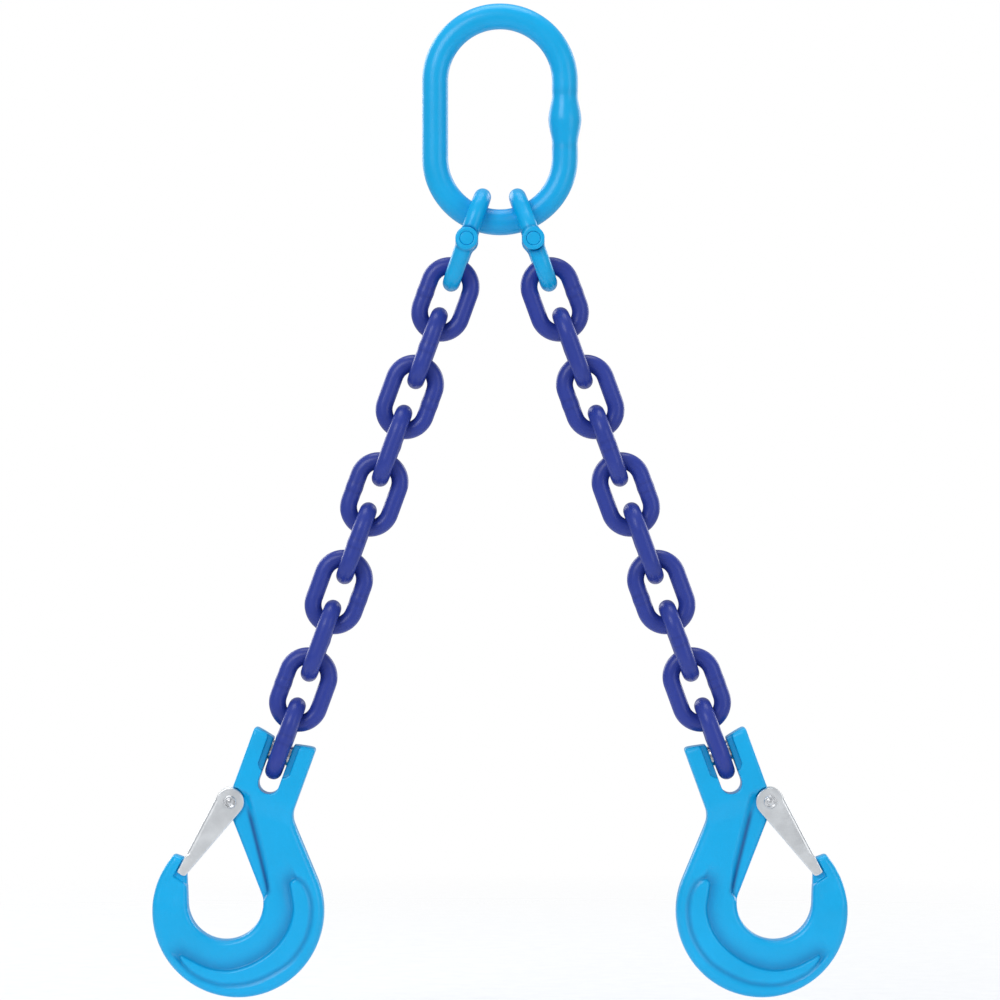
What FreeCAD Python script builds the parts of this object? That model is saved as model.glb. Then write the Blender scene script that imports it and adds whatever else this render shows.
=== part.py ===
import FreeCAD, Part
import math
import os
from FreeCAD import Vector, Rotation, Placement

# Two-leg chain sling. Frame: origin at the crane-hook seat (inside top of the
# master link), +Z up, legs spread in the XZ plane, +Y through the sling's
# thickness. Millimetres.

doc = FreeCAD.newDocument("ChainSling")
sheet = doc.addObject("Spreadsheet::Sheet", "dims")

CELLS = [
    ("leg_angle", 20, "angle of each leg from vertical"),
    ("leg_out", 1.66, "leg line outside the bow centre, square to the leg"),
    ("leg_rise", 0.09, "leg line shifted up the leg to keep the bow just clear"),
    ("master_wire", 15, "master link bar"),
    ("master_width", 60, "master link inside width"),
    ("master_length", 104, "master link inside length"),
    ("weld_bulge", 19, "weld upset diameter"),
    ("weld_half", 13, "half length of the weld upset"),
    ("rod", 9.9, "coupling rod"),
    ("crown_rad", 15, "coupling bow centreline radius"),
    ("reach", 21.55, "pin centre to inside of bow"),
    ("knuckle", 13, "knuckle diameter"),
    ("knuckle_in", 10.25, "inboard knuckle inner face"),
    ("knuckle_mid", 17.75, "inboard knuckle outer face"),
    ("knuckle_out", 25.5, "outboard knuckle outer face"),
    ("knuckle_gap", 0.25, "gap between knuckles"),
    ("cpin", 8, "coupling pin"),
    ("bore_gap", 0.1, "diametral running clearance"),
    ("bush", 12, "coupling bush diameter"),
    ("cpin_drop", 51.5, "bow centre of master link to coupling pin"),
    ("wire", 9.9, "chain bar"),
    ("pitch", 30, "chain pitch, inside length"),
    ("link_width", 34.4, "chain outside width at nominal bar"),
    ("bar_nominal", 10, "nominal chain bar"),
    ("links", 10, "links per leg"),
    ("load_pin", 11.9, "clevis pin"),
    ("load_len", 36.5, "clevis pin length"),
    ("clevis_half", 18.75, "clevis half width"),
    ("clevis_thick", 24, "clevis thickness"),
    ("clevis_top", 10, "top of the ears above the pin"),
    ("ear_dip", 2.5, "drop of the ear tops towards the slot"),
    ("slot_half", 6.1, "half width of the link slot"),
    ("slot_floor", 24.2, "slot floor below the pin"),
    ("hook_thick", 20, "hook body thickness"),
    ("web_thick", 13, "thickness where the latch passes"),
    ("bowl_rad", 21.8, "bowl radius"),
    ("bowl_drop", 91.5, "bowl centre below the pin"),
    ("back_rad", 49.5, "outer radius of the hook"),
    ("back_off", 8.6, "outer centre offset to the back"),
    ("back_drop", 94, "outer centre below the pin"),
    ("panel_groove", 0.9, "depth of the groove round the raised side panel"),
    ("groove_width", 1.3, "width of that groove"),
    ("back_round", 4, "edge rounding along the back of the hook"),
    ("bowl_round", 3, "edge rounding along the bowl and throat"),
    ("latch_out", 17.5, "latch pivot from hook axis"),
    ("latch_drop", 36, "latch pivot below the pin"),
    ("boss_rad", 6, "latch boss radius"),
    ("eye_rad", 8.2, "latch eye radius"),
    ("latch_in", 13.5, "latch inside width"),
    ("latch_wall", 2, "latch plate thickness"),
    ("latch_len", 50.6, "latch pivot to tip"),
    ("latch_pin", 5, "latch pin shank"),
    ("latch_head", 7.4, "latch pin head"),
    ("roll_pin", 4, "retaining pin"),
    ("roll_len", 17, "retaining pin length"),
    ("spring_wire", 1.2, "latch spring wire"),
    ("spring_rad", 3.9, "latch spring mean radius"),
    ("spring_pitch", 1.4, "latch spring pitch"),
    ("spring_turns", 3, "latch spring turns"),
]
for row, (alias, value, note) in enumerate(CELLS, start=2):
    sheet.set("A%d" % row, note)
    sheet.set("B%d" % row, str(value))
    sheet.setAlias("B%d" % row, alias)
doc.recompute()


class Size:
    """A length that keeps the sheet expression beside its number."""

    def __init__(self, text, value):
        self.text = text
        self.value = float(value)

    def _join(self, other, sign, fn):
        if not isinstance(other, Size):
            other = Size(repr(float(other)), other)
        return Size("(%s %s %s)" % (self.text, sign, other.text), fn(self.value, other.value))

    def __add__(self, other):
        return self._join(other, "+", lambda a, b: a + b)

    def __sub__(self, other):
        return self._join(other, "-", lambda a, b: a - b)

    def __mul__(self, other):
        return self._join(other, "*", lambda a, b: a * b)

    def __truediv__(self, other):
        return self._join(other, "/", lambda a, b: a / b)

    def __neg__(self):
        return Size("(0 - %s)" % self.text, -self.value)


def D(alias):
    return Size("dims.%s" % alias, sheet.get(alias))


def n(alias):
    return float(sheet.get(alias))


def bind(obj, prop, size):
    if isinstance(size, Size):
        setattr(obj, prop, size.value)
        obj.setExpression(prop, size.text)
    else:
        setattr(obj, prop, size)


def plane_of(body, role):
    for item in body.Origin.OriginFeatures:
        if getattr(item, "Role", "") == role:
            return item
    raise ValueError(role)


def new_body(name):
    body = doc.addObject("PartDesign::Body", name)
    body.Label = name
    return body


def new_sketch(body, name, role="XZ_Plane", lift=0.0):
    sk = body.newObject("Sketcher::SketchObject", name)
    sk.AttachmentSupport = [(plane_of(body, role), "")]
    sk.MapMode = "FlatFace"
    if lift:
        sk.AttachmentOffset = Placement(Vector(0, 0, lift), Rotation())
    return sk


def limit(sk, kind, args, size):
    """Add a dimension to a sketch, bound to the sheet."""
    import Sketcher
    value = size.value if isinstance(size, Size) else size
    i = sk.addConstraint(Sketcher.Constraint(kind, *args, value))
    if isinstance(size, Size):
        sk.setExpression("Constraints[%d]" % i, size.text)
    return i


def tie(sk, kind, *args):
    import Sketcher
    return sk.addConstraint(Sketcher.Constraint(kind, *args))


def poly(sk, pts):
    """Closed polygon whose corners are all dimensioned from the sketch origin."""
    vals = []
    for x, y in pts:
        vals.append((x.value if isinstance(x, Size) else x, y.value if isinstance(y, Size) else y))
    count = len(pts)
    first = None
    for i in range(count):
        a, b = vals[i], vals[(i + 1) % count]
        g = sk.addGeometry(Part.LineSegment(Vector(a[0], a[1], 0), Vector(b[0], b[1], 0)), False)
        if first is None:
            first = g
    for i in range(count):
        tie(sk, "Coincident", first + i, 2, first + (i + 1) % count, 1)
    for i, (x, y) in enumerate(pts):
        if abs(vals[i][0]) < 1e-9:
            tie(sk, "PointOnObject", first + i, 1, -2)
        else:
            limit(sk, "DistanceX", (-1, 1, first + i, 1), x)
        if abs(vals[i][1]) < 1e-9:
            tie(sk, "PointOnObject", first + i, 1, -1)
        else:
            limit(sk, "DistanceY", (-1, 1, first + i, 1), y)
    return first


def circle(sk, x, y, rad):
    xv = x.value if isinstance(x, Size) else x
    yv = y.value if isinstance(y, Size) else y
    rv = rad.value if isinstance(rad, Size) else rad
    g = sk.addGeometry(Part.Circle(Vector(xv, yv, 0), Vector(0, 0, 1), rv), False)
    if abs(xv) < 1e-9:
        tie(sk, "PointOnObject", g, 3, -2)
    else:
        limit(sk, "DistanceX", (-1, 1, g, 3), x)
    if abs(yv) < 1e-9:
        tie(sk, "PointOnObject", g, 3, -1)
    else:
        limit(sk, "DistanceY", (-1, 1, g, 3), y)
    limit(sk, "Radius", (g,), rad)
    return g


def pad(body, sk, name, length):
    f = body.newObject("PartDesign::Pad", name)
    f.Profile = sk
    f.SideType = "Symmetric"
    bind(f, "Length", length)
    return f


def pocket(body, sk, name, length):
    f = body.newObject("PartDesign::Pocket", name)
    f.Profile = sk
    f.SideType = "Symmetric"
    bind(f, "Length", length)
    return f


def turned(name, pts):
    """Solid of revolution about the body's Z axis from (radius, height) corners."""
    body = new_body(name)
    sk = new_sketch(body, name + "_profile")
    poly(sk, pts)
    f = body.newObject("PartDesign::Revolution", name + "_turn")
    f.Profile = sk
    f.ReferenceAxis = (sk, ["V_Axis"])
    f.Angle = 360
    body.Tip = f
    return body


def oval(body, name, rad, half, bar_rad):
    """Closed bar of oblong shape in the XZ plane, swept along its centreline."""
    R, H = rad.value, half.value
    path = new_sketch(body, name + "_path")
    zz = Vector(0, 0, 1)
    right = path.addGeometry(Part.LineSegment(Vector(R, -H, 0), Vector(R, H, 0)), False)
    top = path.addGeometry(Part.ArcOfCircle(Part.Circle(Vector(0, H, 0), zz, R), 0, math.pi), False)
    left = path.addGeometry(Part.LineSegment(Vector(-R, H, 0), Vector(-R, -H, 0)), False)
    bot = path.addGeometry(Part.ArcOfCircle(Part.Circle(Vector(0, -H, 0), zz, R), math.pi, 2 * math.pi), False)
    tie(path, "Tangent", right, 2, top, 1)
    tie(path, "Tangent", top, 2, left, 1)
    tie(path, "Tangent", left, 2, bot, 1)
    tie(path, "Tangent", bot, 2, right, 1)
    tie(path, "PointOnObject", top, 3, -2)
    tie(path, "Symmetric", top, 3, bot, 3, -1, 1)
    tie(path, "Equal", top, bot)
    limit(path, "Radius", (top,), rad)
    limit(path, "DistanceY", (bot, 3, top, 3), half * 2)
    prof = new_sketch(body, name + "_section", "XY_Plane")
    circle(prof, rad, 0.0, bar_rad)
    f = body.newObject("PartDesign::AdditivePipe", name + "_bar")
    f.Profile = prof
    f.Spine = (path, [])
    body.Tip = f
    return f


def cyl(name, rad, length, centre, axis):
    """Part cylinder centred on a point, along an axis."""
    c = doc.addObject("Part::Cylinder", name)
    bind(c, "Radius", rad)
    bind(c, "Height", length)
    lv = length.value if isinstance(length, Size) else length
    rot = Rotation(Vector(0, 0, 1), Vector(*axis))
    c.Placement = Placement(Vector(*centre), rot).multiply(Placement(Vector(0, 0, -lv / 2.0), Rotation()))
    return c


def block(name, lo, hi):
    b = doc.addObject("Part::Box", name)
    b.Length, b.Width, b.Height = hi[0] - lo[0], hi[1] - lo[1], hi[2] - lo[2]
    b.Placement = Placement(Vector(*lo), Rotation())
    return b


def fuse(name, items):
    f = doc.addObject("Part::MultiFuse", name)
    f.Shapes = items
    return f


def cut(name, base, tool):
    c = doc.addObject("Part::Cut", name)
    c.Base = base
    c.Tool = tool
    return c


nodes = {}


def node(name, obj, place):
    obj.Label = name
    obj.Placement = place
    nodes[name] = obj


def shift(x, y, z, rot=None):
    return Placement(Vector(x, y, z), rot or Rotation())


# ---- master link -------------------------------------------------------
m_rad = (D("master_width") + D("master_wire")) / 2
m_half = (D("master_length") - D("master_width")) / 2
body = new_body("master_link")
oval(body, "master", m_rad, m_half, D("master_wire") / 2)
sk = new_sketch(body, "weld_profile")
rx = m_rad.value
rb = n("weld_bulge") / 2
rw = n("master_wire") / 2
wh = n("weld_half")
pts = [(rx + rw - 0.6, -wh - 3), (rx + rw + 0.15, -wh + 1.5), (rx + rb - 0.35, -wh * 0.42), (rx + rb, 0),
       (rx + rb - 0.35, wh * 0.42), (rx + rw + 0.15, wh - 1.5), (rx + rw - 0.6, wh + 3)]
curve = Part.BSplineCurve()
curve.interpolate([Vector(x, y, 0) for x, y in pts])
axis = sk.addGeometry(Part.LineSegment(Vector(rx, -wh - 3, 0), Vector(rx, wh + 3, 0)), False)
low = sk.addGeometry(Part.LineSegment(Vector(pts[0][0], pts[0][1], 0), Vector(rx, -wh - 3, 0)), False)
high = sk.addGeometry(Part.LineSegment(Vector(rx, wh + 3, 0), Vector(pts[-1][0], pts[-1][1], 0)), False)
bulge = sk.addGeometry(curve, False)
limit(sk, "DistanceX", (-1, 1, axis, 1), m_rad)
tie(sk, "Vertical", axis)
tie(sk, "Coincident", axis, 1, low, 2)
tie(sk, "Coincident", axis, 2, high, 1)
spin = body.newObject("PartDesign::Revolution", "weld_upset")
spin.Profile = sk
spin.ReferenceAxis = (sk, ["Edge1"])
spin.Angle = 360
body.Tip = spin
master_drop = n("master_length") / 2
node("master_link", body, shift(0, 0, -master_drop))

# ---- leg frames ---------------------------------------------------------
# Each leg hangs radially from the centre of the lower bow. Local z runs up
# the leg, local x points outward from the sling.
bow = Vector(0, 0, -(n("master_length") - n("master_width") / 2))
lean = n("leg_angle")
off = Placement(Vector(n("leg_out"), 0, n("leg_rise")), Rotation())
LEG = {
    "right": Placement(bow, Rotation(Vector(0, 1, 0), -lean)).multiply(off),
    "left": Placement(bow, Rotation(Vector(0, 1, 0), lean).multiply(Rotation(Vector(0, 0, 1), 180))).multiply(off),
}


# ---- coupling -------------------------------------------------------------
def coupling_half(name):
    """Half link: a bow on two legs, one inboard and one outboard knuckle."""
    body = new_body(name + "_rod")
    path = new_sketch(body, name + "_path", "YZ_Plane")
    R = n("crown_rad")
    up = n("reach") + n("rod") / 2 - R
    zz = Vector(0, 0, 1)
    y_out = -(n("knuckle_mid") + n("knuckle_out")) / 2 + 0.4
    leg = path.addGeometry(Part.LineSegment(Vector(R, 0, 0), Vector(R, up, 0)), False)
    arc = path.addGeometry(Part.ArcOfCircle(Part.Circle(Vector(0, up, 0), zz, R), 0, math.radians(152)), False)
    a = math.radians(152)
    p0 = Vector(R * math.cos(a), up + R * math.sin(a), 0)
    t0 = Vector(-math.sin(a), math.cos(a), 0)
    flare = Part.BezierCurve()
    flare.setPoles([p0, p0 + t0 * 8.0, Vector(y_out - 0.2, 9.0, 0), Vector(y_out, 0, 0)])
    out = path.addGeometry(flare.toBSpline(), False)
    tie(path, "Tangent", leg, 2, arc, 1)
    tie(path, "PointOnObject", arc, 3, -2)
    tie(path, "PointOnObject", leg, 1, -1)
    limit(path, "Radius", (arc,), D("crown_rad"))
    limit(path, "DistanceY", (-1, 1, arc, 3), D("reach") + D("rod") / 2 - D("crown_rad"))
    prof = new_sketch(body, name + "_section", "XY_Plane")
    # section lies across the straight leg, whose centre is on the body's Y axis
    circle(prof, 0.0, D("crown_rad"), D("rod") / 2)
    pipe = body.newObject("PartDesign::AdditivePipe", name + "_bar")
    pipe.Profile = prof
    pipe.Spine = (path, [])
    body.Tip = pipe
    gap = n("knuckle_gap")
    k_in, k_mid, k_out = n("knuckle_in"), n("knuckle_mid"), n("knuckle_out")
    kr = n("knuckle") / 2
    rc = kr + 0.4
    ends = fuse(name + "_clear", [
        cyl(name + "_clear_mid", rc, k_in + k_mid + gap * 0.6, (0, (k_in - k_mid - gap * 0.6) / 2 - 0.0, 0), (0, 1, 0)),
        cyl(name + "_clear_out", rc, 12.0, (0, k_mid + gap * 0.4 + 6.0, 0), (0, 1, 0)),
        cyl(name + "_clear_far", rc, 8.0, (0, -k_out - 4.0, 0), (0, 1, 0)),
    ])
    trimmed = cut(name + "_trim", body, ends)
    ka = cyl(name + "_knuckle_in", D("knuckle") / 2, k_mid - k_in, (0, (k_mid + k_in) / 2, 0), (0, 1, 0))
    kb = cyl(name + "_knuckle_out", D("knuckle") / 2, k_out - k_mid - gap, (0, -(k_out + k_mid + gap) / 2, 0), (0, 1, 0))
    whole = fuse(name + "_whole", [trimmed, ka, kb])
    hole = cyl(name + "_bore", (D("cpin") + D("bore_gap")) / 2, 80.0, (0, 0, 0), (0, 1, 0))
    return cut(name, whole, hole)


def coupling_pin(name):
    half = D("knuckle_out") - 0.3
    r = D("cpin") / 2
    return turned(name, [(0.0, -half), (r - 0.8, -half), (r, -half + 0.8), (r, half - 0.8), (r - 0.8, half), (0.0, half)])


def coupling_bush(name):
    half = D("knuckle_in") - 0.15
    r = D("bush") / 2
    b = (D("cpin") + D("bore_gap")) / 2
    return turned(name, [(b, -half), (r - 0.6, -half), (r, -half + 0.6), (r, half - 0.6), (r - 0.6, half), (b, half)])


# ---- chain ----------------------------------------------------------------
def chain_link(name):
    body = new_body(name)
    rad = (D("link_width") - D("bar_nominal")) / 2
    half = (D("pitch") + D("bar_nominal")) / 2 - rad
    oval(body, name, rad, half, D("wire") / 2)
    return body


# ---- hook -------------------------------------------------------------------
PX, PZ = n("latch_out"), -n("latch_drop")


def hook_outline(sk):
    """Side outline of the hook, clevis ears at the top, point at the right."""
    zz = Vector(0, 0, 1)
    ch, top, dip, sl = n("clevis_half"), n("clevis_top"), n("ear_dip"), n("slot_half")
    rb, zb = n("bowl_rad"), -n("bowl_drop")
    ro, xo, zo = n("back_rad"), -n("back_off"), -n("back_drop")
    br = n("boss_rad")
    # throat line, from the latch boss down to the bowl
    d = Vector(-0.659, -0.752, 0)
    nn = Vector(0.752, -0.659, 0)
    on = Vector(11, -47, 0)
    pv = Vector(PX, PZ, 0)
    off = (pv - on).dot(nn)
    foot = pv - nn * off
    t_top = foot + d * math.sqrt(br * br - off * off)
    boss_top = Vector(ch, PZ + math.sqrt(br * br - (ch - PX) ** 2), 0)
    cb = Vector(0, zb, 0)
    rf = 14.0
    sb = (cb - on).dot(nn)
    ds = -rf - sb if sb < 0 else rf - sb
    along = math.sqrt((rb - rf) ** 2 - ds ** 2)
    cf = cb + nn * ds + d * along
    t_low = cf - nn * (rf if sb > 0 else -rf)
    u = (cf - cb)
    u.normalize()
    t_bowl = cb + u * rb
    # point flank, tangent to the bowl
    fa = math.radians(-22)
    t_flank = cb + Vector(math.cos(fa), math.sin(fa), 0) * rb
    fd = Vector(-math.sin(fa), math.cos(fa), 0)
    tip_z = -75.5
    f_top = t_flank + fd * ((tip_z - 1.6 - t_flank.y) / fd.y)
    tip_a = Vector(f_top.x + 2.2, tip_z, 0)
    x_out = xo + math.sqrt(ro ** 2 - (-78.2 - zo) ** 2)
    tip_c = Vector(x_out, -78.2, 0)
    tip_b = Vector(x_out - 2.3, tip_z, 0)
    # back
    ba = math.atan2(33.5, -36.4)
    back_t = Vector(xo + ro * math.cos(ba), zo + ro * math.sin(ba), 0)
    bd = Vector(math.sin(ba), -math.cos(ba), 0)
    ix = -ch
    inter = back_t + bd * ((ix - back_t.x) / bd.x)
    rc = 12.0
    tl = rc * math.tan(0.5 * math.acos(bd.y))
    c_hi = inter + Vector(0, 1, 0) * tl
    c_lo = inter - bd * tl
    cc = Vector(c_hi.x - rc, c_hi.y, 0)
    segs = []

    def line(a, b):
        segs.append(Part.LineSegment(a, b))

    def arc3(a, m, b):
        segs.append(Part.Arc(a, m, b))

    def mid(c, r, deg):
        return c + Vector(math.cos(math.radians(deg)), math.sin(math.radians(deg)), 0) * r

    k = 2.0
    p1, p2 = Vector(-ch, top - k, 0), Vector(-ch + k, top, 0)
    arc3(p1, mid(Vector(-ch + k, top - k, 0), k, 135), p2)
    e1, e2 = Vector(-sl, top - dip, 0), Vector(sl, top - dip, 0)
    line(p2, e1)
    line(e1, e2)
    p3, p4 = Vector(ch - k, top, 0), Vector(ch, top - k, 0)
    line(e2, p3)
    arc3(p3, mid(Vector(ch - k, top - k, 0), k, 45), p4)
    line(p4, boss_top)
    arc3(boss_top, mid(pv, br, 0), t_top)
    line(t_top, t_low)
    mf = (t_low + t_bowl) * 0.5 - cf
    mf.normalize()
    arc3(t_low, cf + mf * rf, t_bowl)
    bowl_i = len(segs)
    arc3(t_bowl, mid(cb, rb, -100), t_flank)
    line(t_flank, f_top)
    arc3(f_top, Vector(f_top.x + 0.55, tip_z - 0.45, 0), tip_a)
    line(tip_a, tip_b)
    arc3(tip_b, Vector(x_out - 0.62, tip_z - 0.72, 0), tip_c)
    back_i = len(segs)
    arc3(tip_c, mid(Vector(xo, zo, 0), ro, -80), back_t)
    line(back_t, c_lo)
    mc = (c_lo + c_hi) * 0.5 - cc
    mc.normalize()
    arc3(c_lo, cc + mc * rc, c_hi)
    line(c_hi, p1)
    first = None
    for g in segs:
        i = sk.addGeometry(g, False)
        if first is None:
            first = i
    ends = []
    for i, g in enumerate(segs):
        ends.append((sk.getPoint(first + i, 1), sk.getPoint(first + i, 2)))
    # join consecutive ends, whichever way each arc is stored
    for i in range(len(segs)):
        j = (i + 1) % len(segs)
        best = min(((ends[i][a] - ends[j][b]).Length, a, b) for a in (0, 1) for b in (0, 1))
        tie(sk, "Coincident", first + i, best[1] + 1, first + j, best[2] + 1)
    limit(sk, "Radius", (first + bowl_i,), D("bowl_rad"))
    limit(sk, "Radius", (first + back_i,), D("back_rad"))
    limit(sk, "DistanceY", (first + bowl_i, 3, -1, 1), D("bowl_drop"))
    limit(sk, "DistanceY", (first + back_i, 3, -1, 1), D("back_drop"))
    limit(sk, "DistanceX", (first + back_i, 3, -1, 1), D("back_off"))


def side_profile(sk):
    """Edge-on outline: rounded ears, full clevis, then the thinner hook body."""
    ct, ht, top = n("clevis_thick") / 2, n("hook_thick") / 2, n("clevis_top")
    low = -n("back_drop") - n("back_rad") - 1
    r = 5.0
    pts = [Vector(-ct, top - r, 0), Vector(-ct, -26, 0), Vector(-ht, -36, 0), Vector(-ht, low, 0), Vector(ht, low, 0),
           Vector(ht, -36, 0), Vector(ct, -26, 0), Vector(ct, top - r, 0)]
    gs = [Part.LineSegment(pts[i], pts[i + 1]) for i in range(7)]
    q = r * math.sqrt(0.5)
    gs.append(Part.Arc(Vector(ct, top - r, 0), Vector(ct - r + q, top - r + q, 0), Vector(ct - r, top, 0)))
    gs.append(Part.LineSegment(Vector(ct - r, top, 0), Vector(-ct + r, top, 0)))
    gs.append(Part.Arc(Vector(-ct + r, top, 0), Vector(-ct + r - q, top - r + q, 0), Vector(-ct, top - r, 0)))
    first = None
    for g in gs:
        i = sk.addGeometry(g, False)
        if first is None:
            first = i
    pairs = [(0, 2, 1, 1), (1, 2, 2, 1), (2, 2, 3, 1), (3, 2, 4, 1), (4, 2, 5, 1), (5, 2, 6, 1)]
    for a, b, c, d in pairs:
        tie(sk, "Coincident", first + a, b, first + c, d)
    limit(sk, "DistanceX", (first + 3, 1, first + 3, 2), D("hook_thick"))


def spline_ring(sk, pts):
    """Closed smooth outline through the points."""
    c = Part.BSplineCurve()
    c.interpolate(Points=[Vector(x, y, 0) for x, y in pts], PeriodicFlag=True)
    sk.addGeometry(c, False)


PANEL = [(-33.5, -64.2), (-40.0, -66.5), (-46.2, -74.0), (-50.0, -85.0), (-50.5, -97.0), (-47.0, -110.0), (-40.0, -120.0),
         (-30.0, -129.5), (-17.0, -135.9), (-7.0, -137.5), (3.0, -136.6), (10.5, -133.6), (14.4, -130.4), (13.8, -128.2),
         (8.0, -128.8), (-1.0, -129.8), (-9.0, -129.0), (-17.0, -126.0), (-26.0, -119.0), (-33.0, -110.0), (-37.2, -101.0),
         (-38.8, -92.0), (-37.6, -82.0), (-33.0, -73.0), (-30.6, -67.8)]


def latch_dirs():
    """Latch centreline direction and its two edge lines, in the hook's plane."""
    tip_in, tip_out = Vector(26.7, -84.0, 0), Vector(32.3, -84.2, 0)
    pv = Vector(PX, PZ, 0)
    return pv, tip_in, tip_out


def tangent_from(centre, r, point, side):
    """Touch point of the tangent from an outside point to a circle."""
    v = point - centre
    dist = v.Length
    base = math.atan2(v.y, v.x)
    ang = base + side * math.acos(r / dist)
    return centre + Vector(math.cos(ang), math.sin(ang), 0) * r


def common(name, a, b):
    c = doc.addObject("Part::Common", name)
    c.Base = a
    c.Tool = b
    return c


def ring_out(pts, d):
    """Points of a closed outline, each moved outward by d."""
    out = []
    m = len(pts)
    for i in range(m):
        a, b, c = pts[i - 1], pts[i], pts[(i + 1) % m]
        t1 = Vector(b[0] - a[0], b[1] - a[1], 0).normalize()
        t2 = Vector(c[0] - b[0], c[1] - b[1], 0).normalize()
        t = (t1 + t2).normalize()
        out.append((b[0] + t.y * d, b[1] - t.x * d))
    return out


def rounded_slab(name):
    """Lower hook plate at body thickness, edges rounded along back and bowl."""
    plate = new_body(name + "_slab")
    sk = new_sketch(plate, name + "_slab_outline")
    hook_outline(sk)
    pad(plate, sk, name + "_slab_plate", D("hook_thick"))
    low = common(name + "_slab_low", plate, block(name + "_slab_keep", (-100, -30, -228), (100, 30, -28)))
    doc.recompute()
    half = n("hook_thick") / 2
    picks = []
    for i, e in enumerate(low.Shape.Edges, start=1):
        bb = e.BoundBox
        if abs(bb.YMin - bb.YMax) > 1e-6 or abs(abs(bb.YMin) - half) > 1e-4:
            continue
        arc = isinstance(e.Curve, Part.Circle)
        back = e.Length > 200 or (bb.XMax < -18 and bb.XMin < -18.7 and bb.ZMin > -61)
        bowl = (arc and abs(e.Curve.Radius - n("bowl_rad")) < 0.01) or (arc and 6.0 < e.Length < 6.4)
        flank = not arc and bb.XMin > 19 and bb.ZMax < -70 and e.Length > 10
        throat = not arc and 50 < e.Length < 52
        if back:
            picks.append((i, n("back_round"), n("back_round")))
        elif bowl or flank or throat:
            picks.append((i, n("bowl_round"), n("bowl_round")))
    f = doc.addObject("Part::Fillet", name + "_slab_round")
    f.Base = low
    f.Edges = picks
    return f


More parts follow.
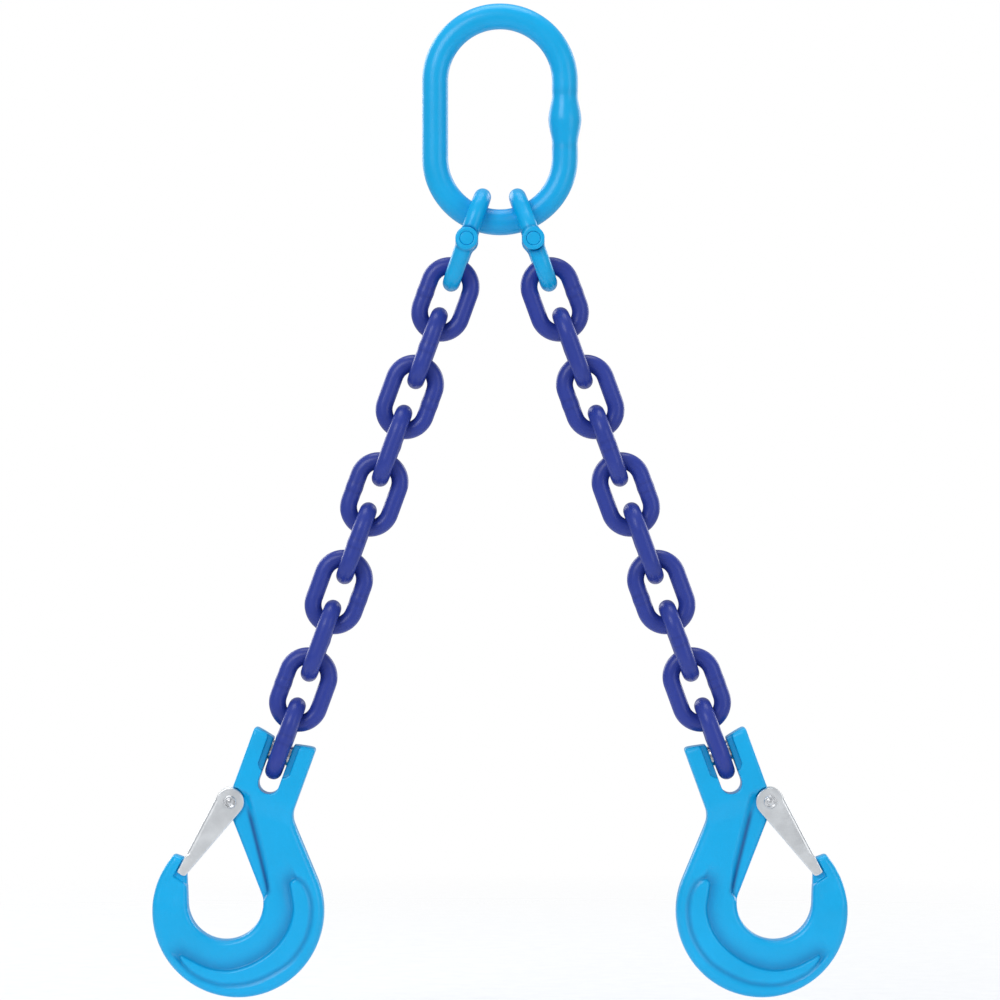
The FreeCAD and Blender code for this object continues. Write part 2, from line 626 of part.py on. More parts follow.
def hook_body(name):
    t = n("hook_thick")
    front = new_body(name + "_front")
    sk = new_sketch(front, name + "_outline")
    hook_outline(sk)
    pad(front, sk, name + "_plate", D("clevis_thick") + 2)
    side = new_body(name + "_side")
    sk = new_sketch(side, name + "_edge", "YZ_Plane")
    side_profile(sk)
    pad(side, sk, name + "_edge_pad", 160.0)
    upper = common(name + "_upper", common(name + "_both", front, side), block(name + "_upper_keep", (-100, -30, -36), (100, 30, 30)))
    blank = fuse(name + "_blank", [upper, rounded_slab(name)])

    sl, fl = n("slot_half"), n("slot_floor")
    tools = [block(name + "_slot", (-sl, -30, -fl + sl), (sl, 30, 30)),
             cyl(name + "_slot_end", D("slot_half"), 60.0, (0, 0, -fl + sl), (0, 1, 0)),
             cyl(name + "_pin_bore", (D("load_pin") + D("bore_gap")) / 2, 80.0, (0, 0, 0), (1, 0, 0)),
             cyl(name + "_roll_bore", (D("roll_pin") + D("bore_gap")) / 2, 24.0, (12.4, 6.3, 2.0), (0, 0, 1)),
             cyl(name + "_latch_bore", (D("latch_pin") + D("bore_gap")) / 2, 60.0, (PX, 0, PZ), (0, 1, 0)),
             cyl(name + "_spring_room", D("boss_rad") + 0.6, 6.2, (PX, 0, PZ), (0, 1, 0))]

    # shallow reliefs beside the slot, on both faces of the clevis
    relief = new_body(name + "_relief")
    sk = new_sketch(relief, name + "_relief_sk")
    poly(sk, [(-9.7, 14.0), (-9.7, -9.6), (-7.6, -12.2), (7.6, -12.2), (9.7, -9.6), (9.7, 14.0)])
    pad(relief, sk, name + "_relief_pad", 60.0)
    keep = block(name + "_relief_keep", (-12, -10.6, -20), (12, 10.6, 20))
    tools.append(cut(name + "_relief_cut", relief, keep))

    # latch clearance on both faces: round the pivot, along the throat, and
    # under the two latch prongs at the hook's point
    pv, tip_in, tip_out = latch_dirs()
    rr = n("eye_rad") + 0.4
    lane = new_body(name + "_lane")
    sk = new_sketch(lane, name + "_lane_sk")
    nx, nz = -0.829, 0.559
    poly(sk, [(pv.x + nx * rr, pv.y + nz * rr), (-18.3, -73.9), (-20.2, -77.5), (-19.6, -82.0), (-5.0, -95.0), (25.0, -70.0),
              (28.0, -56.0), (27.5, -36.0), (19.0, -30.5)])
    pad(lane, sk, name + "_lane_pad", 60.0)
    eye = cyl(name + "_eye_room", rr, 60.0, (PX, 0, PZ), (0, 1, 0))
    prong = new_body(name + "_prong")
    sk = new_sketch(prong, name + "_prong_sk")
    to = tangent_from(pv, n("eye_rad"), tip_out, 1)
    od = tip_out - to
    od.normalize()
    on = Vector(-od.y, od.x, 0)
    if on.x < 0:
        on = on * -1
    a = to + on * 0.3 + od * 34
    b = to + on * 0.3 + od * (n("latch_len") + 2.2)
    ax = (tip_in + tip_out) * 0.5 - pv
    ax.normalize()
    bn = Vector(ax.y, -ax.x, 0)
    if bn.x > 0:
        bn = bn * -1
    c = b + bn * 12
    e = a + bn * 14
    poly(sk, [(a.x, a.y), (b.x, b.y), (c.x, c.y), (e.x, e.y)])
    pad(prong, sk, name + "_prong_pad", 60.0)
    wide = fuse(name + "_latch_room", [lane, eye, prong])
    w = n("web_thick") / 2
    core = block(name + "_latch_keep", (-80, -w, -160), (80, w, 40))
    tools.append(cut(name + "_latch_cut", wide, core))

    # raised side panel on both faces: a narrow groove round it, and a long
    # slope that runs from its inner edge down from the bowl side
    panel = new_body(name + "_panel")
    sk = new_sketch(panel, name + "_panel_sk")
    spline_ring(sk, PANEL)
    pad(panel, sk, name + "_panel_pad", 60.0)
    moat = new_body(name + "_moat")
    sk = new_sketch(moat, name + "_moat_sk")
    spline_ring(sk, ring_out(PANEL, n("groove_width")))
    pad(moat, sk, name + "_moat_pad", 60.0)
    pd = t / 2 - n("panel_groove")
    floor = block(name + "_groove_keep", (-80, -pd, -160), (80, pd, 40))
    groove = cut(name + "_groove", moat, floor)
    cones = []
    for tag, sign in (("front", -1), ("back", 1)):
        k = 0.2235
        ring = turned(name + "_slope_" + tag, [(38.0, sign * t / 2), (52.0, sign * (t / 2 - 14.0 * k)), (52.0, sign * 14.0),
                                               (38.0, sign * 14.0)])
        ring.Placement = Placement(Vector(6.4, 0, -86.7), Rotation(Vector(1, 0, 0), -90))
        cones.append(ring)
    zone = new_body(name + "_zone")
    sk = new_sketch(zone, name + "_zone_sk")
    pts = [(27.0 * math.cos(math.radians(g)), -91.5 + 27.0 * math.sin(math.radians(g))) for g in range(140, 291, 15)]
    pts += [(13.9, -129.3), (3.0, -132.8), (-8.0, -133.3), (-18.0, -130.0), (-29.0, -122.5), (-37.0, -113.0), (-43.0, -102.0),
            (-44.5, -90.0), (-42.0, -78.0), (-35.0, -66.0)]
    poly(sk, pts)
    pad(zone, sk, name + "_zone_pad", 60.0)
    slope = common(name + "_slope", fuse(name + "_slopes", cones), zone)
    tools.append(cut(name + "_panel_cut", fuse(name + "_panel_room", [groove, slope]), panel))

    return cut(name, blank, fuse(name + "_tools", tools))


def load_pin(name):
    """Clevis pin with a round groove that the retaining pin locks."""
    half = D("load_len") / 2
    r = D("load_pin") / 2
    return turned(name, [(0.0, -half), (r - 1.0, -half), (r, -half + 1.0), (r, 9.6), (r - 1.9, 9.9), (r - 1.9, 14.9),
                         (r, 15.2), (r, half - 1.0), (r - 1.0, half), (0.0, half)])


def roll_pin(name):
    half = D("roll_len") / 2
    r = D("roll_pin") / 2
    return turned(name, [(r - 0.9, -half), (r - 0.4, -half), (r, -half + 0.6), (r, half - 0.6), (r - 0.4, half),
                         (r - 0.9, half)])


def latch(name):
    """Pressed channel: two prongs with round eyes, joined by a web."""
    body = new_body(name)
    pv, tip_in, tip_out = latch_dirs()
    r = n("eye_rad")
    to = tangent_from(pv, r, tip_out, 1)
    ti = tangent_from(pv, r, tip_in, -1)
    ax = (tip_in + tip_out) * 0.5 - pv
    ax.normalize()
    bottom = pv + ax * n("latch_len")
    sk = new_sketch(body, name + "_outline")
    back = pv - ax * r
    q1 = tip_out + (tip_out - to).normalize() * 0.0
    side = Vector(-ax.y, ax.x, 0)
    if side.x < 0:
        side = side * -1
    b_out = bottom + side * 1.5
    b_in = bottom - side * 1.5
    gs = [Part.Arc(ti, back, to), Part.LineSegment(to, q1), Part.LineSegment(q1, b_out), Part.LineSegment(b_out, b_in),
          Part.LineSegment(b_in, tip_in), Part.LineSegment(tip_in, ti)]
    first = None
    for g in gs:
        i = sk.addGeometry(g, False)
        if first is None:
            first = i
    ends = [(sk.getPoint(first + i, 1), sk.getPoint(first + i, 2)) for i in range(len(gs))]
    for i in range(len(gs)):
        j = (i + 1) % len(gs)
        best = min(((ends[i][a] - ends[j][b]).Length, a, b) for a in (0, 1) for b in (0, 1))
        tie(sk, "Coincident", first + i, best[1] + 1, first + j, best[2] + 1)
    limit(sk, "Radius", (first,), D("eye_rad"))
    pad(body, sk, name + "_plate", D("latch_in") + D("latch_wall") * 2)
    # open channel between the prongs
    sk = new_sketch(body, name + "_channel")
    od = tip_out - to
    od.normalize()
    inward = Vector(od.y, -od.x, 0)
    if inward.x > 0:
        inward = inward * -1
    w_top = to + inward * n("latch_wall") + od * 1.0
    w_low = to + inward * n("latch_wall") + od * 38.6
    e_low = to - inward * 6 + od * 38.6
    e_top = to - inward * 6 + od * 1.0
    far = to - inward * 6 + od * 60
    poly(sk, [(w_top.x, w_top.y), (w_low.x, w_low.y), (e_low.x, e_low.y), (far.x, far.y), (5.0, -100.0), (-5.0, -60.0),
              (0.0, -20.0), (30.0, -20.0), (e_top.x, e_top.y)])
    pocket(body, sk, name + "_channel_cut", D("latch_in"))
    sk = new_sketch(body, name + "_eye")
    circle(sk, D("latch_out"), -D("latch_drop"), (D("latch_pin") + D("bore_gap")) / 2)
    f = pocket(body, sk, name + "_eye_cut", 60.0)
    body.Tip = f
    return body


def latch_pin(name):
    """Riveted pin with a round dished head on each side."""
    s = D("latch_in") / 2 + D("latch_wall") + 0.08
    r = D("latch_pin") / 2
    rh = D("latch_head") / 2
    head = [(rh, s), (rh, s + 0.7), (rh - 0.45, s + 1.15), (rh - 0.8, s + 1.15), (rh - 1.1, s + 0.55), (2.0, s + 0.55),
            (1.35, s + 1.1), (0.0, s + 1.3)]
    return turned(name, [(q, -h) for q, h in head[::-1]] + [(r, -s), (r, s)] + head)


def latch_spring(name):
    """Torsion spring round the latch pin: coil along Y, two straight legs."""
    r, wr = n("spring_rad"), n("spring_wire") / 2
    p, turns = n("spring_pitch"), n("spring_turns")
    pv, tip_in, tip_out = latch_dirs()
    ax = (tip_in + tip_out) * 0.5 - pv
    ax.normalize()
    out = Vector(-ax.y, ax.x, 0)
    if out.x < 0:
        out = out * -1
    A = Vector(ax.x, 0, ax.y)
    B = Vector(out.x, 0, out.y)
    C = Vector(PX, 0, PZ)
    hgt = p * turns
    pts = []
    total = 2 * math.pi * (turns + 0.30)
    steps = 60
    # start: leg on the latch's web side, running down the latch
    start = C + B * r + Vector(0, -hgt / 2, 0)
    coil = []
    for i in range(steps + 1):
        th = -total * i / steps
        coil.append(C + B * (r * math.cos(th)) + A * (r * math.sin(th)) + Vector(0, -hgt / 2 + hgt * i / steps, 0))
    t_out = (coil[-1] - coil[-2]).normalize()
    # one smooth centreline: straight leg, coil, short straight leg
    line = []
    for i in range(7):
        line.append(start + A * (14.0 * (1 - i / 7.0)) + Vector(0, -0.12 * (1 - i / 7.0), 0))
    line += coil
    for i in range(1, 4):
        line.append(coil[-1] + t_out * (4.4 * i / 3.0))
    curve = Part.BSplineCurve()
    curve.interpolate(Points=line)
    edge = curve.toShape()
    d0 = curve.tangent(curve.FirstParameter)[0]
    sec = Part.Wire([Part.Circle(curve.value(curve.FirstParameter), d0, wr).toShape()])
    shape = Part.Wire([edge]).makePipeShell([sec], True, False)
    f = doc.addObject("Part::Feature", name)
    f.Shape = shape
    return f


# ---- both legs -------------------------------------------------------------
turn_y = Rotation(Vector(0, 0, 1), Vector(0, 1, 0))
turn_x = Rotation(Vector(0, 0, 1), Vector(1, 0, 0))
quarter = Rotation(Vector(0, 0, 1), 90)
upside = Rotation(Vector(1, 0, 0), 180)
first_link = -(n("cpin_drop") + n("reach") - 0.05 + n("pitch") / 2)
pin_z = first_link - n("pitch") * (n("links") - 1) - n("pitch") / 2 + n("bar_nominal") * 0.6

for side in ("left", "right"):
    leg = LEG[side]

    def at(z, rot=None):
        return leg.multiply(shift(0, 0, z, rot))

    hub = -n("cpin_drop")
    node(side + "_coupling_upper_half", coupling_half(side + "_cu"), at(hub))
    node(side + "_coupling_lower_half", coupling_half(side + "_cl"), at(hub, upside))
    node(side + "_coupling_pin", coupling_pin(side + "_cp"), at(hub, turn_y))
    node(side + "_coupling_bush", coupling_bush(side + "_cb"), at(hub, turn_y))
    for k in range(int(n("links"))):
        z = first_link - n("pitch") * k
        link = chain_link("%s_lk%02d" % (side, k + 1))
        node("%s_link_%02d" % (side, k + 1), link, at(z, quarter if k % 2 else None))
    hookf = at(pin_z)
    node(side + "_hook_body", hook_body(side + "_hk"), hookf)
    node(side + "_load_pin", load_pin(side + "_lp"), hookf.multiply(shift(0, 0, 0, turn_x)))
    node(side + "_retaining_pin", roll_pin(side + "_rp"), hookf.multiply(shift(12.4, 6.3, -1.0)))
    node(side + "_latch", latch(side + "_la"), hookf)
    node(side + "_latch_pin", latch_pin(side + "_lpin"), hookf.multiply(shift(PX, 0, PZ, turn_y)))
    node(side + "_latch_spring", latch_spring(side + "_sp"), hookf)

doc.recompute()
bad = []
for obj in doc.Objects:
    if "Invalid" in obj.State or "Error" in obj.State:
        bad.append("%s: %s" % (obj.Name, obj.State))
for label, obj in nodes.items():
    s = obj.Shape
    if s.isNull() or not s.isValid() or not s.Solids:
        bad.append("%s: shape" % label)
if bad:
    raise RuntimeError("failed: " + "; ".join(bad))

os.makedirs("parts", exist_ok=True)
for old in os.listdir("parts"):
    if old.endswith(".step"):
        os.remove(os.path.join("parts", old))
for label, obj in nodes.items():
    obj.Shape.exportStep(os.path.join("parts", label + ".step"))
print("wrote", len(nodes), "parts")
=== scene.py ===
import bpy
import math
import numpy as np
from mathutils import Matrix, Vector


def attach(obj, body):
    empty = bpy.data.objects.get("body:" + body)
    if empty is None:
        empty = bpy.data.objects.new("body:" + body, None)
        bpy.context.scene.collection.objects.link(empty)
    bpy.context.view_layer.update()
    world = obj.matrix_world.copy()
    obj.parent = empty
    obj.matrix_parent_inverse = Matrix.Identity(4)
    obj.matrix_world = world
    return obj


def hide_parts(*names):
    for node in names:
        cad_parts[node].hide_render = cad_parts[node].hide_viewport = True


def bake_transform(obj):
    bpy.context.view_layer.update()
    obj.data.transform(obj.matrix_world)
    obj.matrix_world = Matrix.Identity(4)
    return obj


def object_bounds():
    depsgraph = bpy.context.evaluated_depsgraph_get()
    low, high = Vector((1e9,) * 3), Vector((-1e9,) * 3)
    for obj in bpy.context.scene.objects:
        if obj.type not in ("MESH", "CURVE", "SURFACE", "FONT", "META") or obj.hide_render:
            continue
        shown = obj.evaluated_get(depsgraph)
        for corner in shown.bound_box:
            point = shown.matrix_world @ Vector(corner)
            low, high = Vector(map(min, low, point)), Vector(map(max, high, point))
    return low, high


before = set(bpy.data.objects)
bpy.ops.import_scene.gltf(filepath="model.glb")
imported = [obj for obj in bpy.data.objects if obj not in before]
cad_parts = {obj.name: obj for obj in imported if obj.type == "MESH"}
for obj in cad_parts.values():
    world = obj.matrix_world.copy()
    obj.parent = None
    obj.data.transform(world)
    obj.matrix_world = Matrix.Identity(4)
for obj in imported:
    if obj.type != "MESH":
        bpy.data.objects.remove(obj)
cad_lo, cad_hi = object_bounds()

MM = 0.001
LEAN = math.radians(20.0)
LEG_OFF = np.array([1.66, 0.0, 0.09])   # leg line relative to the bow's centre, in the leg's frame
BOW_Z = -74.0          # centre of the master link's lower bow, mm
PIN_Z = -51.5          # coupling pin, in a leg's own frame
HOOK_Z = -367.0        # clevis pin, in a leg's own frame
LINK_Z = [-88.0 - 30.0 * k for k in range(10)]
LX, LZ = 17.5, -36.0   # latch pivot in the hook's frame
SIDES = ("left", "right")


# ---------------------------------------------------------------- frames
def rot_y(a):
    c, s = math.cos(a), math.sin(a)
    return np.array([[c, 0, s], [0, 1, 0], [-s, 0, c]])


LEG_R = {"right": rot_y(-LEAN), "left": rot_y(LEAN) @ np.diag([-1.0, -1.0, 1.0])}


def to_world(pts, side=None, drop=0.0):
    """Millimetres in a leg's own frame (or the sling's) to metres in the row frame."""
    p = np.asarray(pts, float) + np.array([0, 0, drop])
    if side is not None:
        p = (p + LEG_OFF) @ LEG_R[side].T + np.array([0, 0, BOW_Z])
    return p * MM


# ---------------------------------------------------------------- mesh tools
def make_object(name, verts, faces, material, smooth=True):
    me = bpy.data.meshes.new(name)
    me.from_pydata([tuple(v) for v in verts], [], [tuple(f) for f in faces])
    me.validate()
    me.polygons.foreach_set("use_smooth", [smooth] * len(me.polygons))
    me.materials.append(material)
    me.update()
    ob = bpy.data.objects.new(name, me)
    bpy.context.scene.collection.objects.link(ob)
    return ob


def point_data(ob, name, values):
    at = ob.data.attributes.new(name, "FLOAT", "POINT")
    at.data.foreach_set("value", np.asarray(values, np.float32))


def nets(fn, lo, hi, h, steps=4):
    """Closed quad mesh of fn = 0, one vertex per cell, then pulled onto the surface."""
    lo = np.array(lo, float)
    n = np.ceil((np.array(hi, float) - lo) / h).astype(int) + 1
    ax = [lo[i] + h * np.arange(n[i]) for i in range(3)]
    X, Y, Z = np.meshgrid(*ax, indexing="ij")
    V = fn(X.ravel(), Y.ravel(), Z.ravel()).reshape(n)
    del X, Y, Z
    V[V == 0] = 1e-9
    S = V < 0
    m = tuple(n - 1)
    acc = np.zeros(m + (3,))
    cnt = np.zeros(m)
    for a in range(3):
        lo_s = [slice(None)] * 3
        hi_s = [slice(None)] * 3
        lo_s[a] = slice(0, -1)
        hi_s[a] = slice(1, None)
        v0, v1 = V[tuple(lo_s)], V[tuple(hi_s)]
        cross = S[tuple(lo_s)] != S[tuple(hi_s)]
        t = np.where(cross, v0 / np.where(cross, v0 - v1, 1.0), 0.0)
        b, c = [k for k in range(3) if k != a]
        for ob_ in (0, 1):
            for oc in (0, 1):
                sl = [slice(None)] * 3
                sl[b] = slice(ob_, ob_ + m[b])
                sl[c] = slice(oc, oc + m[c])
                cr = cross[tuple(sl)]
                acc[..., a] += np.where(cr, t[tuple(sl)], 0)
                acc[..., b] += np.where(cr, ob_, 0)
                acc[..., c] += np.where(cr, oc, 0)
                cnt += cr
    act = cnt > 0
    idx = -np.ones(m, int)
    idx[act] = np.arange(act.sum())
    cells = np.argwhere(act)
    verts = lo + h * (cells + acc[act] / cnt[act][:, None])
    quads = []
    for a in range(3):
        b, c = (a + 1) % 3, (a + 2) % 3
        s0 = [slice(1, -1)] * 3
        s1 = [slice(1, -1)] * 3
        s0[a] = slice(0, -1)
        s1[a] = slice(1, None)
        A, B = S[tuple(s0)], S[tuple(s1)]
        e = np.argwhere(A != B)
        inside = A[tuple(e.T)]
        base = e.copy()
        for k in (b, c):
            base[:, k] += 1
        cellsq = []
        for db, dc in ((-1, -1), (0, -1), (0, 0), (-1, 0)):
            q = base.copy()
            q[:, b] += db
            q[:, c] += dc
            cellsq.append(idx[tuple(q.T)])
        q = np.stack(cellsq, 1)
        q[~inside] = q[~inside][:, ::-1]
        quads.append(q)
    quads = np.concatenate(quads)
    eps = 0.12 * h
    for _ in range(steps):
        f = fn(*verts.T)
        g = np.stack([(fn(*(verts + d).T) - fn(*(verts - d).T)) / (2 * eps) for d in np.eye(3) * eps], 1)
        g2 = (g * g).sum(1)
        step = -(f / np.maximum(g2, 0.05))[:, None] * g
        ln = np.linalg.norm(step, axis=1)
        step *= np.minimum(1.0, 0.45 * h / np.maximum(ln, 1e-9))[:, None]
        verts = verts + step
    return verts, quads


def smooth_step(x, a, b):
    t = np.clip((x - a) / (b - a), 0, 1)
    return t * t * (3 - 2 * t)


def smax(a, b, k):
    """Larger of two distances, with the corner rounded over about k."""
    d = np.maximum(k - np.abs(a - b), 0) / k
    return np.maximum(a, b) + d * d * k * 0.25


def smin(a, b, k):
    return -smax(-a, -b, k)


def poly_distance(x, y, poly):
    """Signed distance to a closed polygon, negative inside."""
    poly = np.asarray(poly, float)
    out = np.full(x.shape, 1e18)
    inside = np.zeros(x.shape, bool)
    nxt = np.roll(poly, -1, 0)
    for (ax, ay), (bx, by) in zip(poly, nxt):
        dx, dy = bx - ax, by - ay
        ll = dx * dx + dy * dy
        if ll < 1e-12:
            continue
        t = np.clip(((x - ax) * dx + (y - ay) * dy) / ll, 0, 1)
        out = np.minimum(out, (x - ax - t * dx) ** 2 + (y - ay - t * dy) ** 2)
        c = (ay > y) != (by > y)
        if c.any():
            inside ^= c & (x < (bx - ax) * (y - ay) / (by - ay if by != ay else 1e-12) + ax)
    return np.where(inside, -1, 1) * np.sqrt(out)


class Table:
    """A plane field sampled once on a fine grid and read back by bilinear interpolation."""

    def __init__(self, fn, lo, hi, h):
        self.lo, self.h = np.array(lo, float), h
        n = np.ceil((np.array(hi) - self.lo) / h).astype(int) + 1
        xs = self.lo[0] + h * np.arange(n[0])
        zs = self.lo[1] + h * np.arange(n[1])
        X, Z = np.meshgrid(xs, zs, indexing="ij")
        self.v = fn(X, Z)
        self.n = n

    def __call__(self, x, z):
        u = np.clip((x - self.lo[0]) / self.h, 1, self.n[0] - 2.001)
        w = np.clip((z - self.lo[1]) / self.h, 1, self.n[1] - 2.001)
        i, j = u.astype(int), w.astype(int)
        a, b = u - i, w - j
        v = self.v
        return (v[i, j] * (1 - a) * (1 - b) + v[i + 1, j] * a * (1 - b)
                + v[i, j + 1] * (1 - a) * b + v[i + 1, j + 1] * a * b)


def arc_pts(c, r, a0, a1, step=1.6):
    n = max(2, int(abs(a1 - a0) / math.degrees(step / max(r, 1.0)) * 1.0) + 1)
    n = max(n, 6)
    t = np.radians(np.linspace(a0, a1, n))
    return [(c[0] + r * math.cos(v), c[1] + r * math.sin(v)) for v in t]


def sweep(path, radii, sides=32, closed=False, up=(0, 1, 0)):
    """Tube along a path. radii may vary, and is one number or one row of numbers per ring."""
    p = np.asarray(path, float)
    n = len(p)
    if closed:
        tan = np.roll(p, -1, 0) - np.roll(p, 1, 0)
    else:
        tan = np.gradient(p, axis=0)
    tan /= np.linalg.norm(tan, axis=1)[:, None]
    ref = np.array(up, float)
    rings = []
    side_v = np.cross(tan[0], ref)
    if np.linalg.norm(side_v) < 1e-6:
        side_v = np.cross(tan[0], [1, 0, 0])
    side_v /= np.linalg.norm(side_v)
    ang = np.linspace(0, 2 * math.pi, sides, endpoint=False)
    for i in range(n):
        side_v = side_v - tan[i] * (side_v @ tan[i])
        side_v /= np.linalg.norm(side_v)
        nor = np.cross(side_v, tan[i])
        r = np.broadcast_to(np.asarray(radii[i], float), (sides,))
        rings.append(p[i] + (np.cos(ang) * r)[:, None] * side_v + (np.sin(ang) * r)[:, None] * nor)
    v = np.concatenate(rings)
    f = []
    last = n if closed else n - 1
    for i in range(last):
        a, b = i * sides, ((i + 1) % n) * sides
        for k in range(sides):
            k2 = (k + 1) % sides
            f.append((a + k, b + k, b + k2, a + k2))
    if not closed:
        f.append(tuple(range(sides)))
        f.append(tuple((n - 1) * sides + k for k in range(sides - 1, -1, -1)))
    return v, f


def lathe(profile, sides=48):
    """Solid of revolution about local Z from (radius, height) corners, low to high on the outside."""
    prof = [(max(r, 0.0), z) for r, z in profile]
    ang = np.linspace(0, 2 * math.pi, sides, endpoint=False)
    v, rows = [], []
    for r, z in prof:
        if r < 1e-6:
            rows.append([len(v)])
            v.append((0, 0, z))
        else:
            rows.append(list(range(len(v), len(v) + sides)))
            v += [(r * math.cos(a), r * math.sin(a), z) for a in ang]
    f = []
    for a, b in zip(rows, rows[1:]):
        for k in range(sides):
            k2 = (k + 1) % sides
            if len(a) == 1 and len(b) == 1:
                continue
            if len(a) == 1:
                f.append((a[0], b[k2], b[k]))
            elif len(b) == 1:
                f.append((a[k], a[k2], b[0]))
            else:
                f.append((a[k], a[k2], b[k2], b[k]))
    if len(rows[0]) > 1 and rows[0] and prof[0] == prof[-1]:
        pass
    return np.array(v, float), f


def rounded(pts, r, n=4):
    """Open profile with its inner corners rounded."""
    out = [pts[0]]
    for a, b, c in zip(pts, pts[1:], pts[2:]):
        a, b, c = np.array(a, float), np.array(b, float), np.array(c, float)
        u, w = a - b, c - b
        lu, lw = np.linalg.norm(u), np.linalg.norm(w)
        k = min(r, 0.45 * lu, 0.45 * lw)
        p, q = b + u / lu * k, b + w / lw * k
        for t in np.linspace(0, 1, n + 1):
            out.append(tuple((1 - t) ** 2 * p + 2 * t * (1 - t) * b + t * t * q))
    out.append(pts[-1])
    return out


# ---------------------------------------------------------------- materials
def srgb(r, g, b):
    def lin(c):
        c /= 255.0
        return c / 12.92 if c <= 0.04045 else ((c + 0.055) / 1.055) ** 2.4
    return (lin(r), lin(g), lin(b), 1.0)


class Nodes:
    def __init__(self, name):
        self.mat = bpy.data.materials.new(name)
        self.mat.use_nodes = True
        self.t = self.mat.node_tree
        self.t.nodes.clear()

    def add(self, kind, **props):
        n = self.t.nodes.new(kind)
        for k, v in props.items():
            if k.startswith("in_"):
                key = k[3:].replace("_", " ")
                n.inputs[int(key) if key.isdigit() else key].default_value = v
            else:
                setattr(n, k, v)
        return n

    def link(self, a, b):
        self.t.links.new(a, b)

    def noise(self, coords, scale, detail=3.0, rough=0.5, distort=0.0):
        n = self.add("ShaderNodeTexNoise", in_Scale=scale, in_Detail=detail, in_Roughness=rough, in_Distortion=distort)
        self.link(coords, n.inputs["Vector"])
        return n.outputs["Fac"]

    def remap(self, value, a, b, c, d):
        n = self.add("ShaderNodeMapRange")
        n.inputs["From Min"].default_value = a
        n.inputs["From Max"].default_value = b
        n.inputs["To Min"].default_value = c
        n.inputs["To Max"].default_value = d
        self.link(value, n.inputs["Value"])
        return n.outputs["Result"]

    def math(self, op, a, b):
        n = self.add("ShaderNodeMath", operation=op)
        for i, v in enumerate((a, b)):
            if isinstance(v, (int, float)):
                n.inputs[i].default_value = v
            else:
                self.link(v, n.inputs[i])
        return n.outputs[0]

    def mix(self, fac, a, b):
        n = self.add("ShaderNodeMix", data_type="RGBA")
        if isinstance(fac, (int, float)):
            n.inputs[0].default_value = fac
        else:
            self.link(fac, n.inputs[0])
        for sock, v in ((n.inputs[6], a), (n.inputs[7], b)):
            if isinstance(v, tuple):
                sock.default_value = v
            else:
                self.link(v, sock)
        return n.outputs[2]


def shade(c, k):
    return (min(c[0] * k, 1), min(c[1] * k, 1), min(c[2] * k, 1), 1.0)


def paint(name, base, painted_shade_color, bare, rough=0.34, coat=0.14, peel=0.00005, grain=0.00016, wear=1.0):
    """Powder coat on a forging: orange peel, faint forging skin under it, tone drift, painted
    shade darkening grooves, creases and shoulders, and slight rubbing where metal meets metal."""
    k = Nodes(name)
    co = k.add("ShaderNodeTexCoord").outputs["Object"]
    tone = k.noise(co, 28.0, 4.0, 0.55)
    fleck = k.noise(co, 900.0, 3.0, 0.6)
    col = k.mix(k.remap(tone, 0.3, 0.7, 0.0, 1.0), shade(base, 0.955), shade(base, 1.045))
    col = k.mix(k.remap(fleck, 0.35, 0.75, 0.0, 0.16), col, shade(base, 0.82))
    # painted shade: a per-vertex weight mixes the colour towards a darker shade colour in grooves, creases and
    # shoulders
    painted_shade_weight = k.add("ShaderNodeAttribute", attribute_name="painted_shade").outputs["Fac"]
    col = k.mix(painted_shade_weight, col, painted_shade_color)
    rub = k.add("ShaderNodeAttribute", attribute_name="rub").outputs["Fac"]
    patch = k.noise(co, 420.0, 5.0, 0.65)
    rubbed = k.math("MULTIPLY", k.remap(k.math("ADD", rub, k.math("MULTIPLY", patch, 0.9)), 1.05, 1.35, 0.0, 1.0), 0.75 * wear)
    col = k.mix(rubbed, col, bare)
    bsdf = k.add("ShaderNodeBsdfPrincipled")
    k.link(col, bsdf.inputs["Base Color"])
    rn = k.noise(co, 160.0, 3.0, 0.6)
    ro = k.math("ADD", k.remap(rn, 0.3, 0.7, rough - 0.05, rough + 0.06), k.math("MULTIPLY", rubbed, 0.08))
    k.link(ro, bsdf.inputs["Roughness"])
    k.link(k.math("MULTIPLY", rubbed, 0.7), bsdf.inputs["Metallic"])
    bsdf.inputs["Specular IOR Level"].default_value = 0.30
    bsdf.inputs["Coat Weight"].default_value = coat
    bsdf.inputs["Coat Roughness"].default_value = 0.18
    orange = k.noise(co, 1400.0, 2.0, 0.45)
    skin = k.noise(co, 210.0, 4.0, 0.6, 0.3)
    b1 = k.add("ShaderNodeBump", in_Strength=1.0, in_Distance=grain)
    k.link(skin, b1.inputs["Height"])
    b2 = k.add("ShaderNodeBump", in_Strength=1.0, in_Distance=peel)
    k.link(orange, b2.inputs["Height"])
    k.link(b1.outputs["Normal"], b2.inputs["Normal"])
    k.link(b2.outputs["Normal"], bsdf.inputs["Normal"])
    out = k.add("ShaderNodeOutputMaterial")
    k.link(bsdf.outputs["BSDF"], out.inputs["Surface"])
    return k.mat


